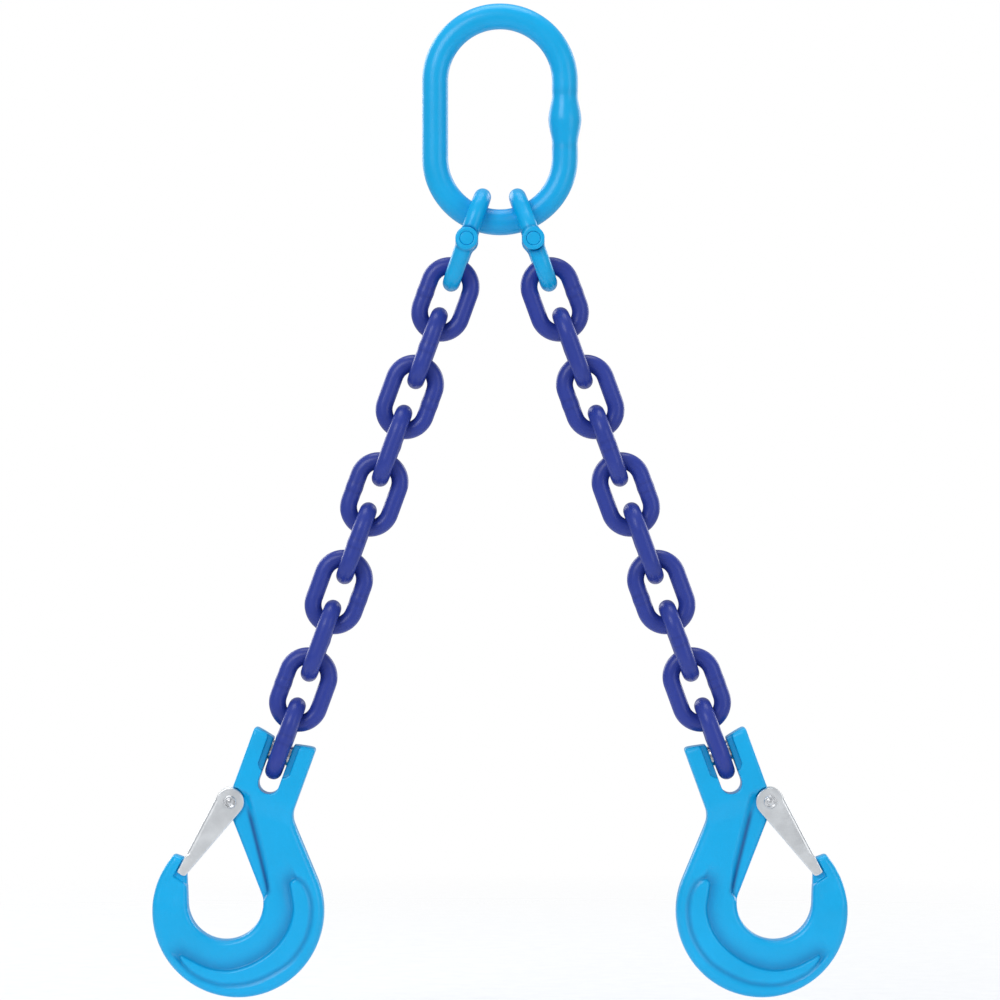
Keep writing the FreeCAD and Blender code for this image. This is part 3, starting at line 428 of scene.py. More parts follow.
def metal(name, base, rough=0.32, brush=(1.0, 1.0, 0.04), scale=900.0, depth=0.000015, metallic=1.0, stain=0.12):
    """Plated steel: drawn or rolled grain, cloudy plating and small marks."""
    k = Nodes(name)
    co = k.add("ShaderNodeTexCoord").outputs["Object"]
    mp = k.add("ShaderNodeMapping")
    mp.inputs["Scale"].default_value = brush
    k.link(co, mp.inputs["Vector"])
    lines = k.noise(mp.outputs["Vector"], scale, 4.0, 0.6)
    cloud = k.noise(co, 70.0, 5.0, 0.6, 0.4)
    col = k.mix(k.remap(cloud, 0.3, 0.7, 0.0, 1.0), shade(base, 1.0 - stain), shade(base, 1.04))
    col = k.mix(k.remap(lines, 0.3, 0.8, 0.0, 0.25), col, shade(base, 0.78))
    bsdf = k.add("ShaderNodeBsdfPrincipled")
    k.link(col, bsdf.inputs["Base Color"])
    bsdf.inputs["Metallic"].default_value = metallic
    k.link(k.math("ADD", k.remap(cloud, 0.3, 0.7, rough - 0.05, rough + 0.07), k.remap(lines, 0.3, 0.7, -0.03, 0.05)),
           bsdf.inputs["Roughness"])
    b = k.add("ShaderNodeBump", in_Strength=1.0, in_Distance=depth)
    k.link(lines, b.inputs["Height"])
    k.link(b.outputs["Normal"], bsdf.inputs["Normal"])
    out = k.add("ShaderNodeOutputMaterial")
    k.link(bsdf.outputs["BSDF"], out.inputs["Surface"])
    return k.mat


CYAN = srgb(0, 172, 232)
# painted shade colour, mixed into the cyan paint in grooves and creases
CYAN_PAINTED_SHADE = srgb(0, 90, 154)
BARE = srgb(150, 158, 165)
blue = paint("cyan_powder_coat", CYAN, CYAN_PAINTED_SHADE, BARE)
# the second colour is the painted shade colour for the chain's grooves beside the weld beads
indigo = paint("indigo_chain_coat", srgb(42, 60, 152), srgb(24, 34, 104), srgb(128, 132, 150), rough=0.38, coat=0.12,
               peel=0.00002, grain=0.00007)
zinc = metal("zinc_sheet", srgb(229, 231, 233), rough=0.36, brush=(0.25, 1.0, 0.25), scale=1200.0, metallic=0.8)
steel = metal("plated_pin_steel", srgb(222, 223, 225), rough=0.26, brush=(1.0, 0.1, 1.0), scale=1500.0)
wire_steel = metal("spring_wire_steel", srgb(150, 152, 158), rough=0.3, brush=(1.0, 1.0, 1.0), scale=1800.0)


# ---------------------------------------------------------------- master link
def stadium(R, H, step):
    n_arc = int(math.pi * R / step) + 1
    n_line = int(2 * H / step) + 1
    pts = []
    for t in np.linspace(0, math.pi, n_arc, endpoint=False):
        pts.append((R * math.cos(t), 0, H + R * math.sin(t)))
    for t in np.linspace(0, 1, n_line, endpoint=False):
        pts.append((-R, 0, H - 2 * H * t))
    for t in np.linspace(math.pi, 2 * math.pi, n_arc, endpoint=False):
        pts.append((R * math.cos(t), 0, -H + R * math.sin(t)))
    for t in np.linspace(0, 1, n_line, endpoint=False):
        pts.append((R, 0, -H + 2 * H * t))
    return np.array(pts)


path = stadium(37.5, 22.0, 1.0)
radii = np.full((len(path), 48), 7.5)
on_weld = path[:, 0] > 37.4
s = np.where(on_weld, path[:, 2], 1e3)
ang48 = np.linspace(0, 2 * math.pi, 48, endpoint=False)
# upset weld: full round swelling with a soft shoulder each side
swell = 2.0 * (0.5 + 0.5 * np.cos(math.pi * np.clip(np.abs(s) / 13.2, 0, 1))) ** 0.85
neck = -0.10 * np.exp(-((np.abs(s) - 14.2) / 1.8) ** 2)
flash = 0.07 * np.exp(-(s / 1.2) ** 2)
radii += (swell + neck + flash)[:, None]
v, f = sweep(path, radii, 48, closed=True)
v[:, 2] -= 52.0
ml = make_object("master_link_forging", to_world(v), f, blue)
# bar rubbed under the two couplings and at the crane-hook seat
vx, vz = v[:, 0], v[:, 2]
seat = np.exp(-((np.hypot(vx, vz - 0.0)) / 16.0) ** 2) * (vz < 3)
bow_in = np.zeros(len(v))
for a in (-math.radians(22.5), math.radians(22.5)):
    r_here = np.hypot(vx, vz + 74)
    bow_in = np.maximum(bow_in, np.exp(-((vx - 30 * math.sin(a)) ** 2 + (vz + 74 + 30 * math.cos(a)) ** 2) / 30.0) * (r_here < 34))
point_data(ml, "rub", np.clip(seat * 0.30 + bow_in * 0.45, 0, 1))
# painted shade in the necks either side of the weld swelling
point_data(ml, "painted_shade", np.clip(0.12 * np.exp(-((np.abs(vz + 52) - 15.5) / 2.2) ** 2) * (vx > 28), 0, 1))
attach(ml, "master_link")
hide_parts("master_link")


# ---------------------------------------------------------------- chain links
def link_mesh():
    pts = stadium(12.2, 7.8, 0.8)
    n = len(pts)
    sides = 32
    ang = np.linspace(0, 2 * math.pi, sides, endpoint=False)
    rad = np.full((n, sides), 4.95)
    # butt weld in one straight side: a low bead with trimmed flash
    weld = pts[:, 0] > 12.1
    sw = np.where(weld, pts[:, 2], 1e3)
    bead = 0.17 * np.exp(-(sw / 1.9) ** 2) - 0.03 * np.exp(-((np.abs(sw) - 3.6) / 1.0) ** 2)
    ragged = 1 + 0.25 * np.sin(3 * ang + 0.7) + 0.18 * np.sin(7 * ang)
    rad += bead[:, None] * ragged[None, :]
    v, f = sweep(pts, rad, sides, closed=True)
    # bearing points: inside of each crown
    c = np.abs(v[:, 2])
    rub = np.exp(-((c - 15.6) ** 2) / 3.0 - (v[:, 0] ** 2) / 14.0 - (v[:, 1] ** 2) / 10.0) * (c < 18.5)
    # painted shade beside the weld bead on the straight side
    painted_shade_base = 0.25 * np.exp(-((np.abs(v[:, 2]) - 2.6) / 0.7) ** 2) * (v[:, 0] > 6)
    return v, f, rub, painted_shade_base


lv, lf, l_rub, link_painted_shade = link_mesh()
for side in SIDES:
    for k in range(10):
        v = lv.copy()
        if k % 2:
            v = np.stack([-v[:, 1], v[:, 0], v[:, 2]], 1)
        # the weld sits on alternating sides, as chain comes off a welder
        if (k // 2) % 2:
            v = v * np.array([-1, -1, 1])
        ob = make_object("%s_link_%02d_welded" % (side, k + 1), to_world(v, side, LINK_Z[k]), lf, indigo)
        point_data(ob, "rub", l_rub * 0.62)
        point_data(ob, "painted_shade", link_painted_shade)
        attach(ob, "%s_chain_link_%02d" % (side, k + 1))
        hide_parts("%s_link_%02d" % (side, k + 1))


# ---------------------------------------------------------------- coupling halves
K_R = 6.5
K_IN, K_MID, K_OUT, K_GAP = 10.25, 17.75, 25.5, 0.25
PIN_R, PIN_GAP = 4.0, 0.05


def coupling_path():
    R, up = 15.0, 11.5
    y_out = -(K_MID + K_OUT) / 2 + 0.4
    pts = [(R, z) for z in np.linspace(0, up, 8, endpoint=False)]
    a1 = math.radians(152)
    pts += [(R * math.cos(t), up + R * math.sin(t)) for t in np.linspace(0, a1, 34)]
    p0 = np.array([R * math.cos(a1), up + R * math.sin(a1)])
    t0 = np.array([-math.sin(a1), math.cos(a1)])
    p1, p2, p3 = p0 + t0 * 8.0, np.array([y_out - 0.2, 9.0]), np.array([y_out, 0.0])
    for t in np.linspace(0, 1, 18)[1:]:
        pts.append(tuple((1 - t) ** 3 * p0 + 3 * t * (1 - t) ** 2 * p1 + 3 * t * t * (1 - t) * p2 + t ** 3 * p3))
    return np.array(pts)


C_PATH = coupling_path()


def coupling_field(x, y, z):
    best = np.full(x.shape, 1e18)
    for (ay, az), (by, bz) in zip(C_PATH, C_PATH[1:]):
        dy, dz = by - ay, bz - az
        ll = dy * dy + dz * dz
        t = np.clip(((y - ay) * dy + (z - az) * dz) / ll, 0, 1)
        best = np.minimum(best, (y - ay - t * dy) ** 2 + (z - az - t * dz) ** 2 + x * x)
    rod = np.sqrt(best) - 4.95
    rr = np.hypot(x, z)

    def disc(y0, y1, r, rd):
        q1, q2 = rr - r + rd, np.abs(y - (y0 + y1) / 2) - abs(y1 - y0) / 2 + rd
        return np.minimum(np.maximum(q1, q2), 0) + np.hypot(np.maximum(q1, 0), np.maximum(q2, 0)) - rd

    room = K_R + 0.4
    f = rod
    for y0, y1 in ((-K_MID - K_GAP * 0.6, K_IN), (K_MID + K_GAP * 0.4, 40.0), (-60.0, -K_OUT)):
        zone = np.maximum(rr - room, np.maximum(y0 - y, y - y1))
        f = smax(f, -zone, 0.7)
    f = smin(f, disc(K_IN, K_MID, K_R, 0.7), 1.6)
    f = smin(f, disc(-K_OUT, -K_MID - K_GAP, K_R, 0.7), 1.6)
    for y0, y1 in ((-K_MID - K_GAP * 0.8, K_IN - 0.03), (K_MID + 0.02, 40.0)):
        f = np.maximum(f, -np.maximum(rr - room + 0.2, np.maximum(y0 - y, y - y1)))
    return smax(f, PIN_R + PIN_GAP - rr, 0.35)


cv, cf = nets(coupling_field, (-8.5, -29.5, -8.5), (8.5, 22.5, 33.5), 0.55)
c_rub = np.exp(-((cv[:, 1]) ** 2) / 40.0 - ((cv[:, 2] - 21.6) ** 2) / 5.0)
# painted shade in a ring round the knuckle, on the rod side
coupling_painted_shade = 0.45 * np.exp(-((np.hypot(cv[:, 0], cv[:, 2]) - 7.4) / 0.8) ** 2) * (cv[:, 2] > 1)
UP = np.diag([1.0, 1.0, 1.0])
DOWN = np.diag([1.0, -1.0, -1.0])
for side in SIDES:
    for half, R in (("upper", UP), ("lower", DOWN)):
        ob = make_object("%s_coupling_%s_forging" % (side, half), to_world(cv @ R.T, side, PIN_Z), cf, blue)
        point_data(ob, "rub", c_rub * 0.5)
        point_data(ob, "painted_shade", coupling_painted_shade)
        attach(ob, "%s_coupling_%s" % (side, half))
        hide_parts("%s_coupling_%s_half" % (side, half))
    # pin, driven through both halves; painted over at its ends after assembly
    hp = K_OUT - 0.12
    prof = rounded([(0.0, -hp), (PIN_R - 0.4, -hp), (PIN_R, -hp + 0.4), (PIN_R, hp - 0.4), (PIN_R - 0.4, hp), (0.0, hp)], 0.25)
    v, f = lathe(prof, 48)
    v = np.stack([v[:, 0], v[:, 2], -v[:, 1]], 1)
    ob = make_object("%s_coupling_pin_turned" % side, to_world(v, side, PIN_Z), f, blue)
    point_data(ob, "rub", np.where(np.abs(v[:, 1]) > hp - 0.5, 0.25, 0.0))
    point_data(ob, "painted_shade", np.zeros(len(v)))
    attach(ob, "%s_coupling_lower" % side)
    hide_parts("%s_coupling_pin" % side)
    # centre bush
    hb = K_IN - 0.15
    prof = rounded([(PIN_R + PIN_GAP, hb), (PIN_R + PIN_GAP, -hb), (5.4, -hb), (6.0, -hb + 0.6), (6.0, -3.0), (5.75, -2.6), (5.75, 2.6),
                    (6.0, 3.0), (6.0, hb - 0.6), (5.4, hb), (PIN_R + PIN_GAP, hb)], 0.3)
    v, f = lathe(prof, 48)
    v = np.stack([v[:, 0], v[:, 2], -v[:, 1]], 1)
    ob = make_object("%s_coupling_bush_sleeve" % side, to_world(v, side, PIN_Z), f, steel)
    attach(ob, "%s_coupling_lower" % side)
    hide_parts("%s_coupling_bush" % side)


# ---------------------------------------------------------------- hook outline
CH, TOP, DIP, SL, FLOOR = 18.75, 10.0, 2.5, 6.1, 24.2
RB, ZB, RO, XO, ZO = 21.8, -91.5, 49.5, -8.6, -94.0


def hook_polygon():
    P = []
    d = np.array([-0.659, -0.752])
    nn = np.array([0.752, -0.659])
    on = np.array([11.0, -47.0])
    pv = np.array([LX, LZ])
    br = 6.0
    off = (pv - on) @ nn
    foot = pv - nn * off
    t_top = foot + d * math.sqrt(br * br - off * off)
    b_z = LZ + math.sqrt(br * br - (CH - LX) ** 2)
    cb = np.array([0.0, ZB])
    rf = 14.0
    sb = (cb - on) @ nn
    ds = (-rf if sb < 0 else rf) - sb
    along = math.sqrt((RB - rf) ** 2 - ds ** 2)
    cf = cb + nn * ds + d * along
    t_low = cf - nn * (rf if sb > 0 else -rf)
    u = (cf - cb) / np.linalg.norm(cf - cb)
    t_bowl = cb + u * RB
    fa = math.radians(-22)
    t_fl = cb + np.array([math.cos(fa), math.sin(fa)]) * RB
    fd = np.array([-math.sin(fa), math.cos(fa)])
    tip_z = -75.5
    f_top = t_fl + fd * ((tip_z - 1.6 - t_fl[1]) / fd[1])
    x_out = XO + math.sqrt(RO ** 2 - (-78.2 - ZO) ** 2)
    ba = math.atan2(33.5, -36.4)
    bt = np.array([XO + RO * math.cos(ba), ZO + RO * math.sin(ba)])
    bd = np.array([math.sin(ba), -math.cos(ba)])
    inter = bt + bd * ((-CH - bt[0]) / bd[0])
    rc = 12.0
    tl = rc * math.tan(0.5 * math.acos(bd[1]))
    c_hi = inter + np.array([0, tl])
    c_lo = inter - bd * tl
    cc = np.array([c_hi[0] - rc, c_hi[1]])

    def deg(c, p):
        return math.degrees(math.atan2(p[1] - c[1], p[0] - c[0]))

    def quad(a, m, b, n=6):
        a, m, b = map(np.array, (a, m, b))
        return [tuple((1 - t) ** 2 * a + 2 * t * (1 - t) * m + t * t * b) for t in np.linspace(0, 1, n)]

    P += arc_pts((-CH + 2, TOP - 2), 2.0, 180, 90, 0.5)
    P += [(-SL, TOP - DIP), (SL, TOP - DIP)]
    P += arc_pts((CH - 2, TOP - 2), 2.0, 90, 0, 0.5)
    P += arc_pts((LX, LZ), br, deg(pv, (CH, b_z)), deg(pv, t_top), 0.5)
    a0, a1 = deg(cf, t_low), deg(cf, t_bowl)
    if a1 < 0:
        a1 += 360
    if a0 < 0:
        a0 += 360
    P += arc_pts(cf, rf, a0, a1, 0.7)
    b0, b1 = deg(cb, t_bowl), -22.0
    if b0 < 0:
        b0 += 360
    P += arc_pts(cb, RB, b0, 360 + b1, 0.8)
    P += quad(f_top, (f_top[0] + 0.75, tip_z), (f_top[0] + 2.2, tip_z))
    P += quad((x_out - 2.3, tip_z), (x_out - 0.25, tip_z), (x_out, -78.2))
    o0, o1 = deg((XO, ZO), (x_out, -78.2)), deg((XO, ZO), bt)
    P += arc_pts((XO, ZO), RO, o0, o1 - 360, 1.0)
    P += arc_pts(cc, rc, deg(cc, c_lo), deg(cc, c_hi), 0.7)
    return np.array(P)


def tangent_from(c, r, p, sgn):
    v = np.array(p) - np.array(c)
    a = math.atan2(v[1], v[0]) + sgn * math.acos(r / np.linalg.norm(v))
    return np.array(c) + np.array([math.cos(a), math.sin(a)]) * r


PV = np.array([LX, LZ])
TIP_IN, TIP_OUT = np.array([26.7, -84.0]), np.array([32.3, -84.2])
T_OUT = tangent_from(PV, 8.2, TIP_OUT, 1)
T_IN = tangent_from(PV, 8.2, TIP_IN, -1)
OD = (TIP_OUT - T_OUT) / np.linalg.norm(TIP_OUT - T_OUT)
AX = (TIP_IN + TIP_OUT) / 2 - PV
AX /= np.linalg.norm(AX)
ON = np.array([-OD[1], OD[0]])
if ON[0] < 0:
    ON = -ON
BN = np.array([AX[1], -AX[0]])
if BN[0] > 0:
    BN = -BN

RR = 8.6
LANE = [PV + np.array([-0.829, 0.559]) * RR, (-18.3, -73.9), (-20.2, -77.5), (-19.6, -82.0), (-5.0, -95.0), (25.0, -70.0),
        (28.0, -56.0), (27.5, -36.0), (19.0, -30.5)]
_a = T_OUT + ON * 0.3 + OD * 34
_b = T_OUT + ON * 0.3 + OD * 52.8
PRONG = [_a, _b, _b + BN * 12, _a + BN * 14]
PANEL = [(-33.5, -64.2), (-40.0, -66.5), (-46.2, -74.0), (-50.0, -85.0), (-50.5, -97.0), (-47.0, -110.0), (-40.0, -120.0),
         (-30.0, -129.5), (-17.0, -135.9), (-7.0, -137.5), (3.0, -136.6), (10.5, -133.6), (14.4, -130.4), (13.8, -128.2),
         (8.0, -128.8), (-1.0, -129.8), (-9.0, -129.0), (-17.0, -126.0), (-26.0, -119.0), (-33.0, -110.0), (-37.2, -101.0),
         (-38.8, -92.0), (-37.6, -82.0), (-33.0, -73.0), (-30.6, -67.8)]


def catmull(pts, n=8):
    p = np.array(pts, float)
    out = []
    m = len(p)
    for i in range(m):
        a, b, c, d = p[i - 1], p[i], p[(i + 1) % m], p[(i + 2) % m]
        for t in np.linspace(0, 1, n, endpoint=False):
            out.append(0.5 * (2 * b + (c - a) * t + (2 * a - 5 * b + 4 * c - d) * t * t + (3 * b - a - 3 * c + d) * t ** 3))
    return np.array(out)


LO2, HI2, H2 = (-62, -148), (45, 14), 0.3
OUTLINE = hook_polygon()
d_out = Table(lambda x, z: poly_distance(x, z, OUTLINE), LO2, HI2, H2)
d_panel = Table(lambda x, z: poly_distance(x, z, catmull(PANEL, 5)), LO2, HI2, H2)
d_lane = Table(lambda x, z: poly_distance(x, z, LANE), LO2, HI2, H2)
d_prong = Table(lambda x, z: poly_distance(x, z, PRONG), LO2, HI2, H2)


def hook_relief(x, z):
    """How deep the side faces sink at each point; the same depth also weights the painted shade in the grooves."""
    dk = d_panel(x, z)
    rho = np.hypot(x, z - ZB)
    inner = smooth_step(rho, 44.5, 41.5)
    g_in = 2.3 * np.where(dk > 0, np.exp(-(np.maximum(dk, 0) / 4.6) ** 1.5), np.exp(-(dk / 0.9) ** 2))
    g_out = 1.0 * np.exp(-(dk / 1.35) ** 2)
    return inner * g_in + (1 - inner) * g_out


def hook_half_thickness(x, z):
    t = 12.0 - 2.0 * smooth_step(-z, 24.0, 38.0)
    t = t - 1.0 * smooth_step(x, 22.0, 30.0) * smooth_step(z, -108.0, -96.0)
    t = t - hook_relief(x, z)
    full = t.copy() if hasattr(t, "copy") else t
    w_lane = 1.6 + 3.4 * smooth_step(z, -78.0, -60.0)
    lane = 6.5 + (full - 6.5) * smooth_step(d_lane(x, z), 0.0, w_lane)
    dc = np.hypot(x - LX, z - LZ) - RR
    w_eye = 1.0 + 3.6 * smooth_step(LX - x, 2.0, 9.0) * smooth_step(-z, 30.0, 38.0)
    eye = 6.5 + (full - 6.5) * smooth_step(dc, 0.0, w_eye)
    pr = 6.5 + (full - 6.5) * smooth_step(d_prong(x, z), 0.0, 0.8)
    return np.minimum(np.minimum(lane, eye), np.minimum(pr, full))


def hook_round(x, z):
    rho = np.hypot(x, z - ZB)
    body = 3.4 + 3.2 * smooth_step(rho, 34.0, 44.0)
    tip = smooth_step(x, 18.0, 27.0) * smooth_step(z, -122.0, -104.0)
    body = body * (1 - tip) + 3.6 * tip
    up = smooth_step(z, -46.0, -30.0)
    body = body * (1 - up) + 2.2 * up
    return body


def hook_field(x, y, z):
    ay = np.abs(y)
    d = d_out(x, z)
    t = hook_half_thickness(x, z)
    r = np.minimum(hook_round(x, z), t * 0.45)
    q1, q2 = d + r, ay - t + r
    f = np.minimum(np.maximum(q1, q2), 0) + np.hypot(np.maximum(q1, 0), np.maximum(q2, 0)) - r
    # ears rounded over the top, seen edge-on
    e1, e2 = ay - 7.0, z - 5.0
    ear = np.hypot(np.maximum(e1, 0), np.maximum(e2, 0)) - 5.0
    f = smax(f, ear, 1.0)
    # slot for the last link
    slot = np.where(z > -FLOOR + SL, np.abs(x) - SL, np.hypot(x, z + FLOOR - SL) - SL)
    f = smax(f, -slot, 1.0)
    bevel = ((np.abs(x) - 7.6) * 1.24 - 12.2 - z) * 0.628
    rel = np.maximum(np.maximum(np.maximum(np.abs(x) - 9.7, -12.2 - z), bevel), 10.6 - ay)
    f = smax(f, -rel, 0.7)
    near = z > -30
    f = np.where(near, smax(f, 6.0 - np.hypot(y, z), 0.6), f)
    f = np.where(z > -9.5, smax(f, 2.05 - np.hypot(x - 12.4, y - 6.3), 0.4), f)
    rp = np.hypot(x - LX, z - LZ)
    f = smax(f, 2.55 - rp, 0.4)
    room = np.maximum(rp - 6.6, ay - 3.1)
    return smax(f, -room, 0.5)


hv, hf = nets(hook_field, (-60.5, -13.2, -146.0), (43.5, 13.2, 12.5), 0.8)
x, y, z = hv.T
# painted shade: the relief grooves, the crease beside the latch lane and a band beside the clevis slot are darkened in
# the paint colour
face = smooth_step(np.abs(y), 5.0, 7.5)
painted_shade_base = hook_relief(x, z)
lane_crease_shade = np.exp(-((d_lane(x, z) - 0.5) / np.where(d_lane(x, z) > 0.5, 1.7, 1.0)) ** 2) * smooth_step(np.abs(y), 4.5, 6.2) * smooth_step(z, -82, -74) * smooth_step(-z, 32, 42) * (d_out(x, z) < -1.2)
slot_band_shade = (np.abs(x) < 10.3) * (z > -12.9) * (np.abs(y) < 11.2) * (np.abs(y) > 9.0) * 0.50
deep = smooth_step(np.hypot(x, z - ZB), 44.5, 41.5)
hook_painted_shade = np.clip(np.maximum(np.maximum(painted_shade_base * (0.20 * deep + 0.42 * (1 - deep)) * face, lane_crease_shade), slot_band_shade), 0, 1)
rho = np.hypot(x, z - ZB)
h_rub = np.exp(-((rho - RB) / 1.6) ** 2) * smooth_step(-z, 97, 110) * (np.abs(y) < 8) * 0.40
h_rub = np.maximum(h_rub, 0.32 * np.exp(-((np.hypot(x, z + FLOOR - SL) - SL) / 0.7) ** 2) * (z < -17))
for side in SIDES:
    ob = make_object("%s_hook_forging" % side, to_world(hv, side, HOOK_Z), hf, blue)
    point_data(ob, "rub", h_rub)
    point_data(ob, "painted_shade", hook_painted_shade)
    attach(ob, "%s_hook" % side)
    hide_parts("%s_hook_body" % side)

# ---------------------------------------------------------------- latch
b_mid = PV + AX * 50.6
L_OUT = []
a_in = math.degrees(math.atan2(T_IN[1] - LZ, T_IN[0] - LX))
a_out = math.degrees(math.atan2(T_OUT[1] - LZ, T_OUT[0] - LX))
while a_in < a_out:
    a_in += 360
L_OUT += arc_pts(PV, 8.2, a_in, a_out, 0.5)
L_OUT += [tuple(TIP_OUT)]
for t in np.linspace(0, 1, 6)[1:-1]:
    L_OUT.append(tuple((1 - t) ** 2 * TIP_OUT + 2 * t * (1 - t) * (b_mid - BN * 2.6) + t * t * b_mid))
L_OUT.append(tuple(b_mid))
for t in np.linspace(0, 1, 6)[1:-1]:
    L_OUT.append(tuple((1 - t) ** 2 * b_mid + 2 * t * (1 - t) * (b_mid + BN * 2.6) + t * t * TIP_IN))
L_OUT += [tuple(TIP_IN)]
W_TOP, W_LOW = T_OUT + OD * 1.0, T_OUT + OD * 38.6
INW = -ON
CHAN = [W_TOP + INW * 2.0, W_LOW + INW * 2.0, W_LOW - INW * 6, T_OUT + OD * 62 - INW * 6, (5.0, -100.0), (-5.0, -60.0), (0.0, -20.0),
        (30.0, -20.0), W_TOP - INW * 6]
l_lo, l_hi = (6.5, -89.5), (36.0, -25.0)
d_lat = Table(lambda a, b: poly_distance(a, b, L_OUT), l_lo, l_hi, 0.2)
d_chan = Table(lambda a, b: poly_distance(a, b, CHAN), l_lo, l_hi, 0.2)


def latch_field(x, y, z):
    ay = np.abs(y)
    d = d_lat(x, z)
    p = np.stack([x, z], -1) - T_OUT
    across = p @ ON
    along = p @ OD
    bend = smooth_step(across, -6.5, -3.5) * smooth_step(along, 0.0, 3.0) * (1 - smooth_step(along, 37.0, 40.0))
    r = 0.4 + 1.8 * bend
    q1, q2 = d + r, ay - 8.75 + r
    f = np.minimum(np.maximum(q1, q2), 0) + np.hypot(np.maximum(q1, 0), np.maximum(q2, 0)) - r
    chan = smax(d_chan(x, z), ay - 6.75, 0.8)
    f = smax(f, -chan, 0.35)
    # bore for the latch pin
    return smax(f, 2.55 - np.hypot(x - LX, z - LZ), 0.3)


gv, gf = nets(latch_field, (8.0, -9.6, -88.0), (34.5, 9.6, -26.5), 0.5)
for side in SIDES:
    ob = make_object("%s_latch_pressing" % side, to_world(gv, side, HOOK_Z), gf, zinc)
    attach(ob, "%s_latch_gate" % side)
    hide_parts("%s_latch" % side)
    # riveted latch pin: shank with a dished, domed head on each side
    s0 = 8.83
    head = rounded([(0.0, s0 + 1.3), (1.3, s0 + 1.15), (2.05, s0 + 0.5), (2.6, s0 + 0.5), (2.9, s0 + 1.15), (3.3, s0 + 1.15),
                    (3.7, s0 + 0.75), (3.7, s0), (2.5, s0)], 0.3)
    prof = [(r, -zz) for r, zz in head] + [(r, zz) for r, zz in head[::-1]]
    v, f = lathe(prof, 48)
    v = np.stack([v[:, 0], v[:, 2], -v[:, 1]], 1) + np.array([LX, 0, LZ])
    ob = make_object("%s_latch_pin_riveted" % side, to_world(v, side, HOOK_Z), f, steel)
    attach(ob, "%s_hook" % side)
    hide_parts("%s_latch_pin" % side)
    # clevis pin with its locking groove
    prof = rounded([(0.0, -18.25), (4.95, -18.25), (5.95, -17.25), (5.95, 9.6), (4.05, 9.9), (4.05, 14.9), (5.95, 15.2), (5.95, 17.25),
                    (4.95, 18.25), (0.0, 18.25)], 0.25)
    v, f = lathe(prof, 64)
    v = np.stack([v[:, 2], v[:, 1], -v[:, 0]], 1)
    ob = make_object("%s_load_pin_turned" % side, to_world(v, side, HOOK_Z), f, steel)
    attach(ob, "%s_hook" % side)
    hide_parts("%s_load_pin" % side)
    # slotted spring pin that locks it
    nseg, r_o, r_i, hl = 40, 2.0, 1.1, 8.5
    gap = math.radians(26)
    an = np.linspace(gap / 2, 2 * math.pi - gap / 2, nseg)
    rows = []
    for zz, inset in ((-hl, 0.35), (-hl + 0.5, 0.0), (hl - 0.5, 0.0), (hl, 0.35)):
        rows.append([((r_o - inset) * math.cos(a), (r_o - inset) * math.sin(a), zz) for a in an])
    inner = [[(r_i * math.cos(a), r_i * math.sin(a), zz) for a in an] for zz in (hl, -hl)]
    allr = rows + inner
    v = np.array([p for r_ in allr for p in r_])
    f = []
    m = len(allr)
    for i in range(m):
        j = (i + 1) % m
        for q in range(nseg - 1):
            f.append((i * nseg + q, i * nseg + q + 1, j * nseg + q + 1, j * nseg + q))
    f.append(tuple(i * nseg for i in range(m)))
    f.append(tuple(i * nseg + nseg - 1 for i in range(m - 1, -1, -1)))
    ob = make_object("%s_retaining_spring_pin" % side, to_world(v + np.array([12.4, 6.3, -1.0]), side, HOOK_Z), f, wire_steel, smooth=False)
    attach(ob, "%s_hook" % side)
    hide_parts("%s_retaining_pin" % side)
    # torsion spring round the latch pin; its long leg follows the latch
    sr, sp, turns = 3.9, 1.4, 3
    A = np.array([AX[0], 0, AX[1]])
    out = np.array([-AX[1], AX[0]])
    if out[0] < 0:
        out = -out
    B = np.array([out[0], 0, out[1]])
    C = np.array([LX, 0, LZ])
    hgt = sp * turns
    start = C + B * sr + np.array([0, -hgt / 2, 0])
    pts = [start + A * (14.0 * (1 - i / 10.0)) + np.array([0, -0.12 * (1 - i / 10.0), 0]) for i in range(10)]
    total = 2 * math.pi * (turns + 0.30)
    n = 150
    coil = [C + B * (sr * math.cos(-total * i / n)) + A * (sr * math.sin(-total * i / n)) + np.array([0, -hgt / 2 + hgt * i / n, 0])
            for i in range(n + 1)]
    t_out = coil[-1] - coil[-2]
    t_out /= np.linalg.norm(t_out)
    pts += coil + [coil[-1] + t_out * (4.4 * i / 4.0) for i in range(1, 5)]
    v, f = sweep(pts, np.full(len(pts), 0.6), 14)
    ob = make_object("%s_latch_torsion_spring" % side, to_world(v, side, HOOK_Z), f, wire_steel)
    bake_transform(ob)
    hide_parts("%s_latch_spring" % side)

# ---------------------------------------------------------------- stage
scene = bpy.context.scene
scene.view_settings.view_transform = "Standard"
scene.view_settings.look = "None"
scene.view_settings.exposure = 0.0
scene.view_settings.gamma = 1.0

world = bpy.data.worlds.new("studio")
scene.world = world
world.use_nodes = True
wn = world.node_tree
wn.nodes.clear()
bg_cam = wn.nodes.new("ShaderNodeBackground")
bg_cam.inputs["Color"].default_value = (1, 1, 1, 1)
bg_cam.inputs["Strength"].default_value = 1.0
bg_lit = wn.nodes.new("ShaderNodeBackground")
bg_lit.inputs["Color"].default_value = (0.93, 0.96, 1.0, 1)
bg_lit.inputs["Strength"].default_value = 0.45
lp = wn.nodes.new("ShaderNodeLightPath")
mx = wn.nodes.new("ShaderNodeMixShader")
wo = wn.nodes.new("ShaderNodeOutputWorld")
wn.links.new(lp.outputs["Is Camera Ray"], mx.inputs["Fac"])
wn.links.new(bg_lit.outputs[0], mx.inputs[1])
wn.links.new(bg_cam.outputs[0], mx.inputs[2])
wn.links.new(mx.outputs[0], wo.inputs["Surface"])

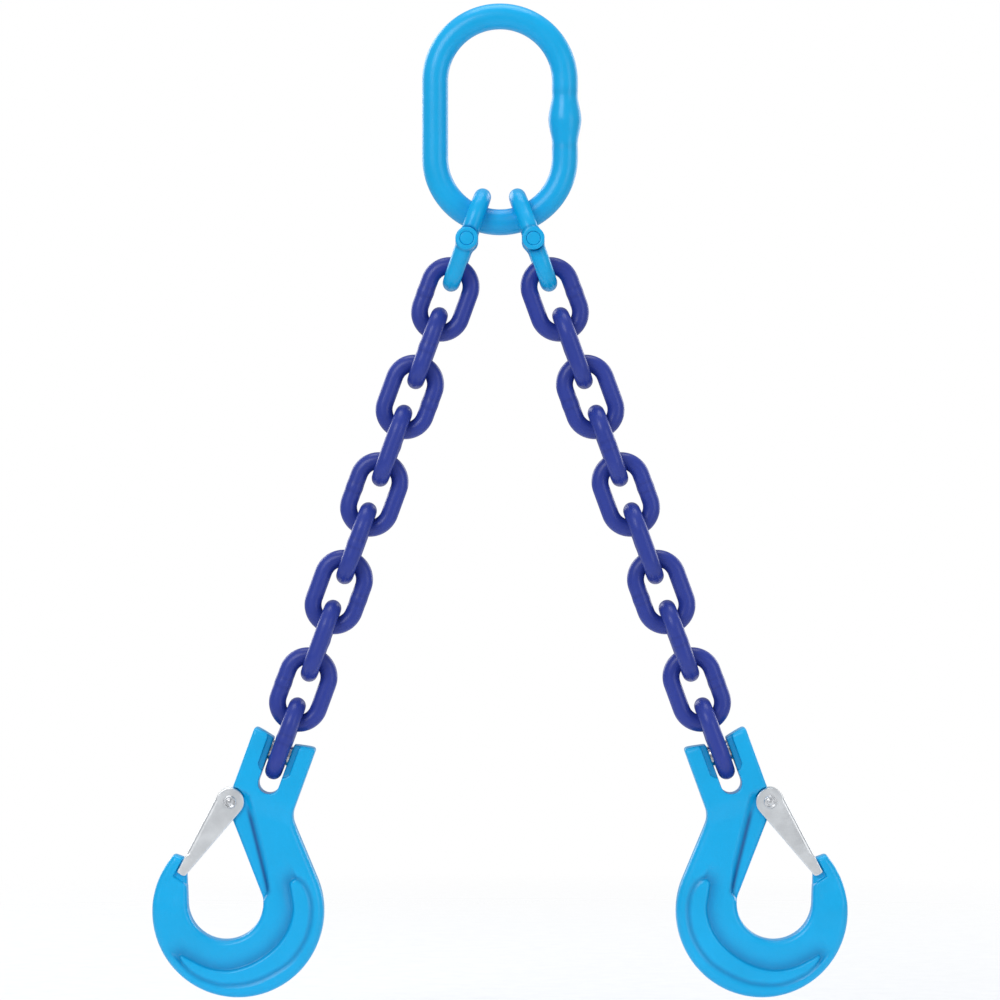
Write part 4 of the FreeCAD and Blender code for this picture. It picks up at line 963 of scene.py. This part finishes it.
# pale floor that fades into the backdrop at its rim
k = Nodes("pale_floor")
geo = k.add("ShaderNodeTexCoord").outputs["Object"]
sep = k.add("ShaderNodeSeparateXYZ")
k.link(geo, sep.inputs[0])
ln = k.add("ShaderNodeVectorMath", operation="LENGTH")
k.link(geo, ln.inputs[0])
fade = k.remap(ln.outputs["Value"], 0.35, 1.5, 1.0, 0.0)
spk = k.noise(geo, 60.0, 4.0, 0.6)
dif = k.add("ShaderNodeBsdfDiffuse")
k.link(k.mix(k.remap(spk, 0.3, 0.7, 0.0, 1.0), (0.86, 0.87, 0.88, 1), (0.90, 0.905, 0.91, 1)), dif.inputs["Color"])
tr = k.add("ShaderNodeBsdfTransparent")
ms = k.add("ShaderNodeMixShader")
k.link(fade, ms.inputs["Fac"])
k.link(tr.outputs[0], ms.inputs[1])
k.link(dif.outputs[0], ms.inputs[2])
om = k.add("ShaderNodeOutputMaterial")
k.link(ms.outputs[0], om.inputs["Surface"])
ring = [(0.0, 0.0, 0.0)]
ff = []
NR, NS = 10, 64
for i in range(1, NR + 1):
    for j in range(NS):
        a = 2 * math.pi * j / NS
        ring.append((1.55 * i / NR * math.cos(a), 1.55 * i / NR * math.sin(a), 0.0))
for j in range(NS):
    ff.append((0, 1 + j, 1 + (j + 1) % NS))
for i in range(NR - 1):
    for j in range(NS):
        a, b = 1 + i * NS + j, 1 + i * NS + (j + 1) % NS
        ff.append((a, a + NS, b + NS, b))
floor = make_object("stage_floor", ring, ff, k.mat)
floor.location = (0, 0, cad_lo.z - 0.03)


def area(name, loc, target, size, power, color=(1, 1, 1)):
    li = bpy.data.lights.new(name, "AREA")
    li.shape = "RECTANGLE"
    li.size, li.size_y = size
    li.energy = power
    li.color = color
    ob = bpy.data.objects.new(name, li)
    ob.location = loc
    d = Vector(target) - Vector(loc)
    ob.rotation_mode = "QUATERNION"
    ob.rotation_quaternion = d.to_track_quat("-Z", "Y")
    scene.collection.objects.link(ob)
    return ob


mid = (0, 0, -0.27)
area("key_softbox", (-0.9, -1.7, 0.75), mid, (1.1, 1.1), 19)
area("fill_softbox", (1.5, -1.5, -0.05), mid, (1.0, 1.4), 7.5)
area("top_softbox", (0.0, 0.15, 1.3), mid, (1.2, 0.9), 12)
area("back_left", (-1.2, 1.5, 0.4), mid, (0.9, 1.3), 12)
area("back_right", (1.3, 1.4, 0.2), mid, (0.9, 1.3), 10)

cam = bpy.data.cameras.new("camera")
cam.lens = 200.0
cam.sensor_width = 36.0
co = bpy.data.objects.new("camera", cam)
dist = 0.578 * 200.0 / 36.0
co.location = (0.0, -dist, -0.272)
co.rotation_euler = (math.radians(90), 0, 0)
scene.collection.objects.link(co)
scene.camera = co
cam.clip_start, cam.clip_end = 0.1, 50.0
